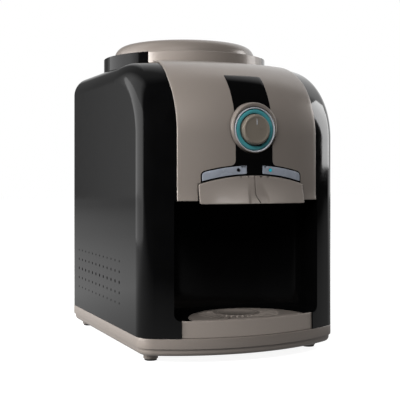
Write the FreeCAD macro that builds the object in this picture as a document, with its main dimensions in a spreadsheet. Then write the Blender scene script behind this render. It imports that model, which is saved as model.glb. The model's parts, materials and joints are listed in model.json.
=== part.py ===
"""Countertop water dispenser for an upturned bottle, with two push levers and a compressor chiller.

Millimetres, +Z up, the front faces -Y and +X is on the right of someone who faces the front.
The origin is the centre of the footprint, on the surface that the feet stand on.
"""
import FreeCAD, Part
import math
import os
from types import SimpleNamespace

import Sketcher

V = FreeCAD.Vector

SIZES = {
    # casing: plan, roll-over at the top of the front, and walls
    "half_width": 145.0, "front_y": -193.0, "rear_y": 196.0, "front_arc": 272.0,
    "edge_round": 29.0, "casing_wall": 2.5, "roll_radius": 106.0, "casing_top": 402.5, "seam": 0.2,
    # base and feet
    "base_bottom": 11.0, "base_step": 20.6, "base_top": 34.2, "base_inset": 2.5, "base_chamfer": 5.0,
    "base_floor": 14.0, "base_wall": 10.0, "slot_half": 60.0, "slot_y": 19.0, "slot_width": 6.0,
    "slot_pitch": 18.0, "post_radius": 7.0, "foot_radius": 9.8, "foot_chamfer": 0.8, "foot_x": 120.0,
    "foot_front_y": -123.0, "foot_rear_y": 172.0, "pad_height": 2.0, "pad_radius": 8.3,
    # front panel and what is set in it
    "panel_half": 102.7, "panel_arc": 320.0, "panel_front": -190.3, "panel_top": 404.5,
    "panel_bottom": 210.9, "panel_roll": 108.0, "panel_wall": 2.5, "zone_half": 91.0, "zone_y": -33.4,
    "shoulder_y": -141.0,
    "strip_half": 27.0, "strip_top": 378.0, "overlay": 0.8, "plate_rise": 1.2,
    "label_half": 73.3, "label_top": 244.3, "label_arc": 263.6, "label_height": 14.4,
    "label_border": 1.8, "plate_near": 11.6, "plate_far": 71.5, "lens_x": 23.2, "lens_z": 251.0,
    "lens_radius": 2.0, "lens_front": -191.0, "lens_length": 3.8, "board_half": 40.0, "board_y": -184.5,
    "board_thick": 1.6, "board_bottom": 247.0, "board_top": 261.0, "diode_radius": 1.5,
    "diode_length": 2.5,
    # thermostat knob
    "knob_z": 303.7, "bezel_radius": 34.3, "bezel_lift": 2.3, "bezel_bore": 30.4, "bezel_rise": 2.4,
    "dial_y": -188.0, "dial_thick": 1.0, "eye_radius": 6.0, "teal_inner": 21.1, "teal_outer": 26.8,
    "teal_rise": 2.4, "silver_inner": 27.4, "silver_outer": 29.3, "silver_rise": 3.0,
    "knob_radius": 20.4, "knob_face": 17.4, "knob_front": -198.0, "knob_gap": 0.3, "knob_socket": 3.5,
    "mark_half": 0.7, "mark_depth": 1.1, "mark_low": 9.0, "mark_high": 15.0,
    "shaft_radius": 3.0, "shaft_length": 24.5, "thermostat_half": 17.0, "thermostat_rise": 16.0,
    "thermostat_front": -182.0, "thermostat_rear": -158.0, "neck_radius": 5.0, "neck_front": -186.0,
    # glass recess
    "recess_half": 105.8, "recess_floor": 56.5, "recess_roof": 211.5, "recess_corner": 9.3,
    "recess_side_y": -120.0, "recess_bow": 35.0, "recess_round": 20.0, "recess_cove": 3.0,
    "liner_wall": 2.0,
    # drip tray and its grille
    "tray_half": 96.1, "tray_inset": 2.0, "tray_front": 3.0, "tray_radius": 82.3, "tray_y": -178.3,
    "tray_bottom": 36.6, "tray_wall": 2.0, "tray_gap": 0.5, "tray_side_gap": 0.4,
    "grille_bottom": 54.0, "grille_top": 57.0, "grille_gap": 0.3,
    "platform_y": -134.2, "platform_radius": 27.4, "groove_width": 1.6, "groove_depth": 0.8,
    "grille_slot": 3.2, "slot_length": 27.0, "slot_margin": 4.0,
    # push levers and taps
    "lever_half": 76.0, "lever_bottom": 207.0, "lever_gap": 0.5, "lever_split": 0.4,
    "lug_reach": 3.0, "lug_below": 3.5, "lug_above": 2.5, "pusher_half": 5.0, "pusher_rise": 2.0,
    "pin_y": -176.0, "pin_z": 233.0, "pin_radius": 1.5, "pin_near": 6.0, "pin_far": 72.0,
    "bracket_half": 73.0, "bracket_ear": 68.0, "bracket_middle": 7.0, "bracket_nose": 6.0,
    "bracket_front": -180.0, "bracket_rear": -168.0, "bracket_foot": 229.0, "bar_bottom": 240.5,
    "bar_top": 246.5,
    "tap_x": 38.0, "tap_z": 222.0, "tap_y": -167.0, "tap_radius": 8.0, "tap_length": 39.0,
    "tap_chamber": 6.3, "tap_front_wall": 5.0, "chamber_length": 31.0, "outlet_radius": 4.0,
    "inlet_radius": 5.0, "inlet_length": 14.0, "feed_radius": 3.0,
    "plunger_radius": 4.0, "plunger_reach": 5.5, "plunger_length": 17.5, "collar_radius": 5.6,
    "collar_thick": 3.0, "guide_radius": 2.4, "guide_length": 6.0, "spring_radius": 4.2,
    "spring_pitch": 4.0, "spring_length": 20.0, "spring_wire": 0.45,
    "running_gap": 0.05, "nozzle_y": -150.0, "nozzle_radius": 6.5, "nozzle_tip": 209.8,
    # bottle ring, seat and tanks
    "ring_y": 52.4, "ring_radius": 125.1, "ring_top": 421.8, "ring_wall": 2.5, "mouth_radius": 110.0,
    "seat_flange": 3.0, "seat_radius": 109.7, "seat_top": 442.8, "rim_radius": 84.0,
    "tank_radius": 92.0, "tank_bottom": 308.0, "tank_top": 396.0, "tank_flange": 115.0,
    "tank_wall": 2.5, "through_radius": 14.0, "cold_radius": 68.0, "cold_bottom": 220.0,
    "cold_top": 292.0, "cold_wall": 2.0, "foam_radius": 97.0, "foam_bore": 76.0, "foam_top": 301.0,
    "evaporator_radius": 72.0, "evaporator_tube": 3.0, "evaporator_pitch": 9.6,
    "evaporator_rise": 48.0, "shelf_z": 211.6, "shelf_thick": 2.0, "shelf_hole": 7.0,
    # rear panel and condenser
    "window_half": 101.0, "window_bottom": 48.0, "window_top": 358.0, "rear_floor_y": 172.0,
    "sheet_thick": 2.0, "screw_x": 108.0, "screw_radius": 1.8, "coil_radius": 2.4, "coil_half": 80.0,
    "coil_end": 90.0, "coil_pitch": 22.0, "coil_bottom": 72.0, "coil_y": 185.0, "wire_radius": 0.8,
    "outlet_z": 59.0, "drain_radius": 5.0, "gland_radius": 6.0, "screw_z": 65.0, "screw_pitch": 95.0,
    "screw_head": 3.6, "screw_head_thick": 2.0, "screw_length": 9.0,
    # compressor
    "motor_x": 30.0, "motor_y": 60.0, "motor_foot": 62.0, "motor_foot_z": 24.0, "motor_radius": 60.0,
    "motor_bottom": 37.0, "motor_top": 180.0, "motor_dome": 38.0, "motor_bowl": 24.0,
    "arm_half": 9.0, "arm_thick": 3.0, "spine_half": 30.0, "grommet_radius": 8.0,
    "grommet_bore": 3.5, "relay_depth": 22.0, "relay_half": 20.0, "relay_bottom": 90.0,
    "relay_top": 130.0,
    # vents
    "vent_z": 68.1, "vent_rise": 14.5, "vent_y": -65.2, "vent_pitch": 18.66,
}


class Size:
    """A length that carries its number and the spreadsheet formula it comes from."""

    def __init__(self, value, text):
        self.value = value
        self.text = text

    def joined(self, other, sign, value):
        return Size(value, f"({self.text} {sign} {size(other).text})")

    def __add__(self, other):
        return self.joined(other, "+", self.value + size(other).value)

    def __sub__(self, other):
        return self.joined(other, "-", self.value - size(other).value)

    def __mul__(self, other):
        return self.joined(other, "*", self.value * size(other).value)

    def __truediv__(self, other):
        return self.joined(other, "/", self.value / size(other).value)

    def __neg__(self):
        return Size(-self.value, f"(-{self.text})")

    def __radd__(self, other):
        return size(other) + self

    def __rsub__(self, other):
        return size(other) - self

    def __rmul__(self, other):
        return size(other) * self


def size(value):
    """A plain number as a Size; a Size as it is."""
    return value if isinstance(value, Size) else Size(float(value), f"{float(value)}")


doc = FreeCAD.newDocument("water_dispenser")
sheet = doc.addObject("Spreadsheet::Sheet", "Sizes")
for row, (alias, number) in enumerate(SIZES.items(), 1):
    sheet.set(f"A{row}", alias)
    sheet.set(f"B{row}", str(number))
    sheet.setAlias(f"B{row}", alias)
doc.recompute()
S = SimpleNamespace(**{alias: Size(number, f"Sizes.{alias}") for alias, number in SIZES.items()})


def read(alias):
    """A size as the sheet holds it, for the shapes that are built in code."""
    return float(sheet.get(alias))


FRONT_ARC_Y = S.front_y + S.front_arc        # centre of the casing's front arc
PANEL_ARC_Y = S.panel_front + S.panel_arc    # centre of the front panel's flatter arc
TURNS = {
    "X": FreeCAD.Rotation(V(0, 1, 0), 90),
    "Y": FreeCAD.Rotation(V(1, 0, 0), -90),
    "Z": FreeCAD.Rotation(),
}
TALL = 600.0                                 # taller than the object, for cutting solids


# ---------------------------------------------------------------- helpers

def bind(item, **values):
    """Ties properties to their formulas."""
    for name, value in values.items():
        item.setExpression(name, size(value).text)


def place(item, x, y, z, along="Z"):
    """Stands an item at a point, with its own Z axis along X, Y or Z."""
    item.Placement = FreeCAD.Placement(V(), TURNS[along])
    for axis, value in zip("xyz", (x, y, z)):
        item.setExpression(f"Placement.Base.{axis}", size(value).text)
    return item


def box(label, x, y, z):
    """A box between the two limits given for each axis."""
    item = doc.addObject("Part::Box", label)
    bind(item, Length=size(x[1]) - x[0], Width=size(y[1]) - y[0], Height=size(z[1]) - z[0])
    return place(item, x[0], y[0], z[0])


def cylinder(label, radius, length, x, y, z, along="Z"):
    item = doc.addObject("Part::Cylinder", label)
    bind(item, Radius=radius, Height=length)
    return place(item, x, y, z, along)


def fuse(label, *shapes):
    item = doc.addObject("Part::MultiFuse", label)
    item.Shapes = list(shapes)
    item.Refine = True
    return item


def common(label, *shapes):
    item = doc.addObject("Part::MultiCommon", label)
    item.Shapes = list(shapes)
    return item


def cut(label, base, *tools):
    item = doc.addObject("Part::Cut", label)
    item.Base = base
    item.Tool = tools[0] if len(tools) == 1 else fuse(label + "_tools", *tools)
    return item


def group(label, *shapes):
    """Separate identical solids under one name."""
    item = doc.addObject("Part::Compound", label)
    item.Links = list(shapes)
    return item


def tube(label, outer, inner, length, x, y, z, along="Z"):
    shell = cylinder(label + "_outside", outer, length, x, y, z, along)
    return cut(label, shell, cylinder(label + "_inside", inner, length, x, y, z, along))


def edges(shape, test):
    """The names of the edges for which test(bounding box) is true."""
    return [f"Edge{i}" for i, edge in enumerate(shape.Edges, 1) if test(edge.BoundBox)]


def flat(low, high):
    return high - low < 0.01


def filleted(label, base, radius, test):
    """A Part fillet of one radius on the edges that pass the test."""
    item = doc.addObject("Part::Fillet", label)
    item.Base = base
    radius = size(radius).value
    item.Edges = [(int(name[4:]), radius, radius) for name in edges(base.Shape, test)]
    doc.recompute()
    return item


def sketch(body, name, plane):
    item = body.newObject("Sketcher::SketchObject", name)
    origin_plane = next(o for o in body.Origin.OriginFeatures if o.Role == plane)
    item.AttachmentSupport = [(origin_plane, "")]
    item.MapMode = "FlatFace"
    return item


def dimension(item, kind, place_1, place_2, value):
    """A dimension in a sketch that follows the sheet; a negative one is measured the other way."""
    value = size(value)
    if value.value < 0:
        place_1, place_2, value = place_2, place_1, -value
    index = item.addConstraint(Sketcher.Constraint(kind, *place_1, *place_2, value.value))
    item.setExpression(f"Constraints[{index}]", value.text)


def polygon(item, points):
    """A closed outline of straight sides in a sketch, each corner dimensioned from the origin."""
    points = [(size(u), size(v)) for u, v in points]
    count = len(points)
    for i, (u, v) in enumerate(points):
        u_next, v_next = points[(i + 1) % count]
        item.addGeometry(Part.LineSegment(V(u.value, v.value, 0), V(u_next.value, v_next.value, 0)))
    for i in range(count):
        item.addConstraint(Sketcher.Constraint("Coincident", i, 2, (i + 1) % count, 1))
    for i, (u, v) in enumerate(points):
        for kind, value, axis in (("DistanceX", u, -2), ("DistanceY", v, -1)):
            if abs(value.value) < 1e-9:
                item.addConstraint(Sketcher.Constraint("PointOnObject", i, 1, axis))
            else:
                dimension(item, kind, (-1, 1), (i, 1), value)


def turned(label, points, x=0.0, y=0.0, z=0.0, along="Z"):
    """A body turned about its own Z axis from corners given as (radius, height)."""
    body = doc.addObject("PartDesign::Body", label)
    outline = sketch(body, label + "_outline", "XZ_Plane")
    polygon(outline, points)
    turn = body.newObject("PartDesign::Revolution", label + "_turn")
    turn.Profile = outline
    turn.ReferenceAxis = (outline, ["V_Axis"])
    turn.Angle = 360.0
    return place(body, x, y, z, along)


def pipe(label, points, radius, bend):
    """A tube bent from straight runs joined by tangent arcs of one radius."""
    corners = [V(*point) for point in points]
    items = []
    start = corners[0]
    for before, corner, after in zip(corners, corners[1:], corners[2:]):
        towards = (before - corner).normalize()
        away = (after - corner).normalize()
        half_turn = (math.pi - towards.getAngle(away)) / 2
        setback = bend * math.tan(half_turn)
        first = corner + towards * setback
        last = corner + away * setback
        middle_way = (towards + away).normalize()
        middle = corner + middle_way * (bend / math.cos(half_turn) - bend)
        if (first - start).Length > 1e-6:
            items.append(Part.LineSegment(start, first).toShape())
        items.append(Part.Arc(first, middle, last).toShape())
        start = last
    items.append(Part.LineSegment(start, corners[-1]).toShape())
    path = Part.Wire(items)
    ring = Part.Wire(Part.makeCircle(radius, corners[0], corners[1] - corners[0]))
    item = doc.addObject("Part::Feature", label)
    item.Shape = path.makePipeShell([ring], True, False)
    item.Placement = FreeCAD.Placement()
    return item


def wound(label, radius, pitch, rise, wire, foot, along="Z"):
    """A coil whose four sizes are read from the sheet, standing at the point given."""
    line = doc.addObject("Part::Helix", label + "_line")
    bind(line, Radius=getattr(S, radius), Pitch=getattr(S, pitch), Height=getattr(S, rise))
    doc.recompute()
    ring = Part.Wire(Part.makeCircle(read(wire), V(read(radius), 0, 0), V(0, 1, 0)))
    item = doc.addObject("Part::Feature", label)
    item.Shape = Part.Wire(line.Shape.Edges).makePipeShell([ring], True, True)
    return place(item, *foot, along)


# ---------------------------------------------------------------- casing forms

def arc_plan(body, label, inset, arc, apex):
    """The casing seen from above: a front arc, straight sides and a straight rear."""
    plan = sketch(body, label + "_plan", "XY_Plane")
    side = S.half_width - inset
    rear = S.rear_y - inset
    radius = arc - inset
    centre = apex + arc
    corner_y = centre.value - math.sqrt(radius.value ** 2 - side.value ** 2)
    turn = math.asin(side.value / radius.value)
    down = -math.pi / 2
    circle = Part.Circle(V(0, centre.value, 0), V(0, 0, 1), radius.value)
    corners = [
        V(side.value, corner_y, 0), V(side.value, rear.value, 0),
        V(-side.value, rear.value, 0), V(-side.value, corner_y, 0),
    ]
    plan.addGeometry(Part.ArcOfCircle(circle, down - turn, down + turn))
    for first, last in zip(corners, corners[1:]):
        plan.addGeometry(Part.LineSegment(first, last))
    for i in range(4):
        plan.addConstraint(Sketcher.Constraint("Coincident", i, 2, (i + 1) % 4, 1))
    plan.addConstraint(Sketcher.Constraint("PointOnObject", 0, 3, -2))
    plan.addConstraint(Sketcher.Constraint("Vertical", 1))
    plan.addConstraint(Sketcher.Constraint("Horizontal", 2))
    plan.addConstraint(Sketcher.Constraint("Vertical", 3))
    dimension(plan, "DistanceY", (-1, 1), (0, 3), centre)
    dimension(plan, "DistanceX", (-1, 1), (1, 1), side)
    dimension(plan, "DistanceX", (3, 1), (-1, 1), side)
    dimension(plan, "DistanceY", (-1, 1), (2, 1), rear)
    index = plan.addConstraint(Sketcher.Constraint("Radius", 0, radius.value))
    plan.setExpression(f"Constraints[{index}]", radius.text)
    return plan


def rounded(body, name, radius, test):
    """Fillets the edges of a body that pass the test."""
    base = body.Tip
    fillet = body.newObject("PartDesign::Fillet", name)
    fillet.Base = (base, edges(base.Shape, test))
    bind(fillet, Radius=radius)
    doc.recompute()
    return fillet


def upright(b):
    return flat(b.XMin, b.XMax) and flat(b.YMin, b.YMax) and not flat(b.ZMin, b.ZMax)


def slab(label, inset, low, high, corner):
    """A flat layer of the casing's plan with rounded upright corners."""
    body = doc.addObject("PartDesign::Body", label)
    layer = body.newObject("PartDesign::Pad", label + "_layer")
    layer.Profile = arc_plan(body, label, inset, S.front_arc, S.front_y)
    bind(layer, Length=high - low)
    doc.recompute()
    rounded(body, label + "_corners", corner, upright)
    return place(body, 0, 0, low)


def form(label, inset, arc, apex, roll, top, rounding=None):
    """The closed form of the casing: an arc front that rolls over into a flat top.

    inset moves every face inwards; rounding is the radius round the sides, top and rear.
    """
    body = doc.addObject("PartDesign::Body", label)
    block = body.newObject("PartDesign::Pad", label + "_block")
    block.Profile = arc_plan(body, label, inset, arc, apex)
    bind(block, Length=top - inset)
    roll_over(body, label, apex + arc, apex + inset, top - inset, roll - inset)
    doc.recompute()
    if rounding is not None:
        soften(body, label, rounding - inset)
    return body


def roll_over(body, label, centre, front, top, radius):
    """Cuts away what lies outside the quarter round between the front and the top."""
    spare = 60.0
    side = sketch(body, label + "_side", "YZ_Plane")
    corners = [(front + radius, top), (front + radius, top + spare), (front - spare, top + spare),
               (front - spare, top - radius), (front, top - radius)]
    for (u, v), (u_next, v_next) in zip(corners, corners[1:]):
        side.addGeometry(Part.LineSegment(V(u.value, v.value, 0), V(u_next.value, v_next.value, 0)))
    middle = V(corners[0][0].value, corners[4][1].value, 0)
    circle = Part.Circle(middle, V(0, 0, 1), radius.value)
    side.addGeometry(Part.ArcOfCircle(circle, math.pi / 2, math.pi))
    side.addGeometry(Part.LineSegment(V(centre.value, 0, 0), V(centre.value, 100, 0)), True)
    for i, (u, v) in enumerate(corners):
        dimension(side, "DistanceX", (-1, 1), (i, 1) if i < 4 else (3, 2), u)
        dimension(side, "DistanceY", (-1, 1), (i, 1) if i < 4 else (3, 2), v)
    for i in range(3):
        side.addConstraint(Sketcher.Constraint("Coincident", i, 2, i + 1, 1))
    side.addConstraint(Sketcher.Constraint("Coincident", 4, 1, 0, 1))
    side.addConstraint(Sketcher.Constraint("Coincident", 4, 2, 3, 2))
    index = side.addConstraint(Sketcher.Constraint("Radius", 4, radius.value))
    side.setExpression(f"Constraints[{index}]", radius.text)
    side.addConstraint(Sketcher.Constraint("Vertical", 5))
    side.addConstraint(Sketcher.Constraint("PointOnObject", 5, 1, -1))
    dimension(side, "DistanceX", (-1, 1), (5, 1), centre)
    dimension(side, "DistanceY", (5, 1), (5, 2), 100.0)
    groove = body.newObject("PartDesign::Groove", label + "_roll")
    groove.Profile = side
    groove.ReferenceAxis = (side, ["Axis0"])
    groove.Angle = 180.0
    groove.Midplane = True


def soften(body, label, radius):
    """Rounds the upright rear corners, then the whole run round the front, sides, top and rear."""
    side = max(vertex.X for vertex in body.Shape.Vertexes)
    rear = max(vertex.Y for vertex in body.Shape.Vertexes)
    top = max(vertex.Z for vertex in body.Shape.Vertexes)

    def round_the_form(b):
        at_side = flat(b.XMin, b.XMax) and abs(abs(b.XMin) - side) < 0.01 and b.ZMax > 100
        at_corner = b.YMin > rear - radius.value - 2
        return b.ZMin > top - 0.01 and b.YMax > rear - 50 or at_side and not at_corner

    rounded(body, label + "_corners", radius + 1.0, lambda b: upright(b) and b.YMin > rear - 1)
    rounded(body, label + "_round", radius, round_the_form)


nodes = []


def node(item):
    """Lists an item as a piece of the dispenser, written out under its label."""
    nodes.append(item)
    return item


def sides():
    """A name and a sign for the left and the right of the object."""
    return (("left", -1.0), ("right", 1.0))


def span(sign, near, far):
    """The limits in X between two distances from the middle, on the side that sign gives."""
    near, far = size(near) * sign, size(far) * sign
    return (far, near) if sign < 0 else (near, far)


# ---------------------------------------------------------------- construction solids

WIDE = S.half_width + 60                     # past the sides, for cutting solids
AHEAD = S.front_y - 60                       # in front of the object
DEEP = 120.0                                 # from AHEAD to well behind the front, for cutting solids
THROUGH = 60.0                               # through any wall with room to spare
ALL_X = (-WIDE, WIDE)
ALL_Y = (AHEAD, S.rear_y + 60)

casing_outer = form("casing_outer", size(0), S.front_arc, S.front_y, S.roll_radius, S.casing_top,
                    S.edge_round)
casing_inner = form("casing_inner", S.casing_wall, S.front_arc, S.front_y, S.roll_radius,
                    S.casing_top, S.edge_round)
PANEL = (S.panel_arc, S.panel_front, S.panel_roll, S.panel_top)
panel_outer = form("panel_outer", size(0), *PANEL)
panel_inner = form("panel_inner", S.panel_wall, *PANEL)
strip_outer = form("strip_outer", -S.overlay, *PANEL)
plate_outer = form("plate_outer", -S.plate_rise, *PANEL)


def panel_zone(label, edge, bottom):
    """The upright prism that the front panel fills: straight sides that taper in beside the ring."""
    body = doc.addObject("PartDesign::Body", label)
    plan = sketch(body, label + "_plan", "XY_Plane")
    side = S.panel_half + edge
    end = S.zone_half + edge
    polygon(plan, [(-side, AHEAD), (side, AHEAD), (side, S.shoulder_y), (end, S.zone_y),
                   (-end, S.zone_y), (-side, S.shoulder_y)])
    block = body.newObject("PartDesign::Pad", label + "_block")
    block.Profile = plan
    block.Length = TALL
    return place(body, 0, 0, bottom)


def label_disc(label, grow):
    """A disc whose edge is the arc under the label band, grown by the amount given."""
    return cylinder(label, S.label_arc + grow, DEEP, 0, AHEAD, S.label_top - S.label_arc, "Y")


SEAT_GAP = 0.3                               # between the bottle seat and the ring it rests in


def ring_profile():
    """The upright wall round the bottle seat, with a ledge inside for the seat to rest on."""
    inner = S.ring_radius - S.ring_wall
    ledge = S.ring_top - S.seat_flange - SEAT_GAP
    bottom = S.casing_top - S.casing_wall
    under = ledge - S.ring_wall
    return [(S.ring_radius, bottom), (S.ring_radius, S.ring_top), (inner, S.ring_top), (inner, ledge),
            (S.mouth_radius, ledge), (S.mouth_radius, under), (inner, under), (inner, bottom)]


# ---------------------------------------------------------------- base and feet

BASE_SLOTS = 5
band = slab("base_band", size(0), S.base_step, S.base_top, S.edge_round)
skirt = slab("base_skirt", S.base_inset, S.base_bottom, S.base_step, S.edge_round - S.base_inset)
rounded(skirt, "base_chamfer", S.base_chamfer, lambda b: b.ZMax < 0.01)
hollow = slab("base_hollow", S.base_wall, S.base_floor, S.base_top + 1, S.edge_round - S.base_wall)
posts = [
    cylinder(f"base_post_{i}_{j}", S.post_radius, S.motor_foot_z - S.base_floor,
             S.motor_x + i * S.motor_foot, S.motor_y + j * S.motor_foot, S.base_floor)
    for i in (-1, 1) for j in (-1, 1)
]
slots = []
for i in range(BASE_SLOTS):
    near = S.slot_y + S.slot_pitch * i
    slots.append(box(f"base_slot_{i}", (-S.slot_half, S.slot_half), (near, near + S.slot_width),
                     (0, S.base_top)))
pan = cut("base_open", fuse("base_rough", band, skirt), hollow, *slots)
node(fuse("base_pan", pan, *posts))

pads = []
for end, y in (("front", S.foot_front_y), ("rear", S.foot_rear_y)):
    feet = []
    for side, sign in sides():
        x = S.foot_x * sign
        height = S.base_bottom - S.pad_height
        stem = cylinder(f"foot_stem_{end}_{side}", S.foot_radius, height, x, y, S.pad_height)
        foot = doc.addObject("Part::Chamfer", f"foot_{end}_{side}")
        foot.Base = stem
        doc.recompute()
        chamfer = read("foot_chamfer")
        foot.Edges = [(int(name[4:]), chamfer, chamfer) for name in edges(
            stem.Shape, lambda b: b.ZMax < S.pad_height.value + 0.01)]
        feet.append(foot)
        pads.append(cylinder(f"pad_{end}_{side}", S.pad_radius, S.pad_height, x, y, 0))
    node(group(f"feet_{end}", *feet))
node(group("foot_pads", *pads))


# ---------------------------------------------------------------- casing shells

shell = cut("casing_shell", casing_outer, casing_inner)
ring = turned("bottle_ring", ring_profile(), 0, S.ring_y, 0)
mouth = cylinder("casing_mouth", S.mouth_radius, THROUGH, 0, S.ring_y, S.casing_top - THROUGH / 2)
corner_x = S.recess_half - S.recess_corner
corner_z = S.recess_floor + S.recess_corner
opening = fuse(
    "recess_opening",
    box("opening_upper", (-S.recess_half, S.recess_half), (AHEAD, AHEAD + DEEP),
        (corner_z, S.panel_bottom)),
    box("opening_lower", (-corner_x, corner_x), (AHEAD, AHEAD + DEEP), (0, corner_z + 1)),
    *[cylinder(f"opening_corner_{side}", S.recess_corner, DEEP, corner_x * sign, AHEAD, corner_z, "Y")
      for side, sign in sides()])
rear_window = box("rear_window", (-S.window_half, S.window_half),
                  (S.rear_y - THROUGH / 3, S.rear_y + THROUGH / 3), (S.window_bottom, S.window_top))
VENT_RADII = (1.6, 2.0, 2.4, 2.0, 1.6)       # one for each row, from the lowest up
VENT_COLUMNS = 12
vents = []
for i, radius in enumerate(VENT_RADII):
    for j in range(VENT_COLUMNS):
        z = S.vent_z + i * S.vent_rise
        y = S.vent_y + j * S.vent_pitch
        vents.append(cylinder(f"vent_{i}_{j}", radius, WIDE * 2, -WIDE, y, z, "X"))
open_shell = cut("casing_open", fuse("casing_with_ring", shell, ring), opening, rear_window,
                 panel_zone("panel_gap", S.seam, S.panel_bottom))
shell_mouth = cut("casing_mouthed", open_shell, mouth)
SCREWS_EACH_SIDE = 4
screws = [
    (f"{side}_{i}", S.screw_x * sign, S.screw_z + S.screw_pitch * i)
    for side, sign in sides() for i in range(SCREWS_EACH_SIDE)
]
screw_holes = [cylinder(f"screw_hole_{name}", S.screw_radius, THROUGH / 3, x, S.rear_y - 12, z, "Y")
               for name, x, z in screws]
vented = cut("casing_vented", shell_mouth, *vents, *screw_holes)
for side, sign in sides():
    half = box(f"half_{side}", span(sign, S.seam / 2, WIDE), ALL_Y, (S.base_top, TALL))
    node(common(f"side_cover_{side}", vented, half))

# front panel: its skin, and the part of the bottle ring that it carries
zone = panel_zone("panel_field", size(0), S.panel_bottom)
skin = cut("panel_skin", panel_outer, panel_inner)
lever_window = common(
    "lever_window",
    box("lever_space", (-S.lever_half - S.lever_gap, S.lever_half + S.lever_gap), (AHEAD, AHEAD + DEEP),
        (0, S.label_top + 5)),
    label_disc("lever_arch", size(0)))
bezel_z = S.knob_z + S.bezel_lift
knob_hole = cylinder("knob_hole", S.bezel_radius, DEEP, 0, AHEAD, bezel_z, "Y")
panel_solid = common("panel_solid", fuse("panel_with_ring", skin, ring), zone)
lens_holes = [
    cylinder(f"lens_hole_{side}", S.lens_radius, DEEP, S.lens_x * sign, AHEAD, S.lens_z, "Y")
    for side, sign in sides()
]
node(cut("front_panel", panel_solid, mouth, lever_window, knob_hole, *lens_holes))

# recess: walls with a bowed back and a coved foot, on a floor with a well for the drip tray


def tub(label, grow, low, high):
    """The recess seen from above, between two heights: straight sides and a bowed back."""
    side = S.recess_half + grow
    bow = (S.recess_half * S.recess_half / S.recess_bow + S.recess_bow) / 2
    straight = box(label + "_straight", (-side, side), (AHEAD, S.recess_side_y), (low, high))
    arch = cylinder(label + "_arch", bow + grow, size(high) - low, 0,
                    S.recess_side_y + S.recess_bow - bow, low)
    keep = box(label + "_keep", (-side, side), (S.recess_side_y - 5, S.recess_side_y + THROUGH),
               (low, high))
    whole = fuse(label + "_sharp", straight, common(label + "_back", arch, keep))
    doc.recompute()
    return filleted(label, whole, S.recess_round + grow,
                    lambda b: upright(b) and b.YMin > S.recess_side_y.value - 6)


hollow_tub = tub("recess_sharp", size(0), S.recess_floor, S.recess_roof)
recess = filleted("recess_space", hollow_tub, S.recess_cove, lambda b: (
    b.ZMax < S.recess_floor.value + 0.01 and b.YMax > AHEAD.value + 1))
front_ring_gap = cut(
    "tray_front_space",
    box("tray_front_block", (-S.tray_half - S.tray_side_gap, S.tray_half + S.tray_side_gap),
        (AHEAD, AHEAD + DEEP), (0, S.recess_floor + 1)),
    cylinder("tray_front_core", S.front_arc - S.tray_inset - S.tray_front - S.tray_gap, DEEP, 0,
             FRONT_ARC_Y, 0))
well_radius = S.tray_radius + S.tray_gap
well_floor = S.tray_bottom - 0.2
well = fuse(
    "tray_well",
    cylinder("tray_well_round", well_radius, THROUGH, 0, S.tray_y, well_floor),
    box("tray_well_way_out", (-well_radius, well_radius), (AHEAD, S.tray_y),
        (well_floor, well_floor + THROUGH)))
under = cut(
    "liner_under",
    common("liner_under_plan",
           tub("under_tub", size(0), S.base_top - 1, S.recess_floor - S.liner_wall),
           cylinder("under_front", S.front_arc - S.tray_inset - S.tray_front - S.tray_gap - S.liner_wall,
                    THROUGH, 0, FRONT_ARC_Y, 0)),
    cylinder("under_well", well_radius + S.liner_wall, THROUGH, 0, S.tray_y, 0),
    box("under_way_out", (-well_radius - S.liner_wall, well_radius + S.liner_wall), (AHEAD, S.tray_y),
        (0, THROUGH)))
lever_space = box("liner_lever_space", (-S.lever_half - 4, S.lever_half + 4), (AHEAD, S.tap_y - 1),
                  (S.recess_roof - 1, TALL))
nozzle_holes = [
    cylinder(f"nozzle_hole_{side}", S.nozzle_radius + 1, THROUGH, S.tap_x * sign, S.nozzle_y,
             S.recess_roof - THROUGH / 2)
    for side, sign in sides()
]
tub_solid = common("liner_solid", casing_inner, panel_inner,
                   tub("liner_tub", S.liner_wall, S.base_top, S.recess_roof + S.liner_wall))
liner = cut("liner_shell", tub_solid, recess, lever_space, *nozzle_holes)
below_floor = box("liner_below", ALL_X, ALL_Y, (0, S.recess_floor))
node(cut("recess_liner", liner, below_floor))
node(cut("recess_floor", common("recess_floor_block", liner, below_floor), front_ring_gap, well, under))


# ---------------------------------------------------------------- drip tray and grille

def inside_front(label, inset, low, high):
    """A disc about the middle of the front arc, inset from the casing's front."""
    return cylinder(label, S.front_arc - inset, size(high) - low, 0, FRONT_ARC_Y, low)


tray_back = S.tray_inset + S.tray_front
tray_low = S.base_top + 0.2
tray_face = common(
    "tray_face",
    cut("tray_face_ring", inside_front("tray_face_outer", S.tray_inset, tray_low, S.recess_floor),
        inside_front("tray_face_inner", tray_back, 0, 80)),
    box("tray_face_width", (-S.tray_half, S.tray_half), (AHEAD, 0), (0, 80)))
bowl = common(
    "tray_bowl",
    cylinder("tray_round", S.tray_radius, S.recess_floor - S.tray_bottom, 0, S.tray_y, S.tray_bottom),
    inside_front("tray_bowl_front", S.tray_inset + 1, 0, 80))
low_space = common(
    "tray_low_space",
    cylinder("tray_low_round", S.tray_radius - S.tray_wall * 2, THROUGH, 0, S.tray_y,
             S.tray_bottom + S.tray_wall),
    inside_front("tray_low_front", tray_back + 2, 0, 80))
high_space = common(
    "tray_high_space",
    cylinder("tray_high_round", S.tray_radius - S.tray_wall, THROUGH, 0, S.tray_y,
             S.grille_bottom - S.grille_gap),
    inside_front("tray_high_front", tray_back, 0, 80))
node(cut("drip_tray", fuse("tray_block", tray_face, bowl), low_space, high_space))

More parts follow.
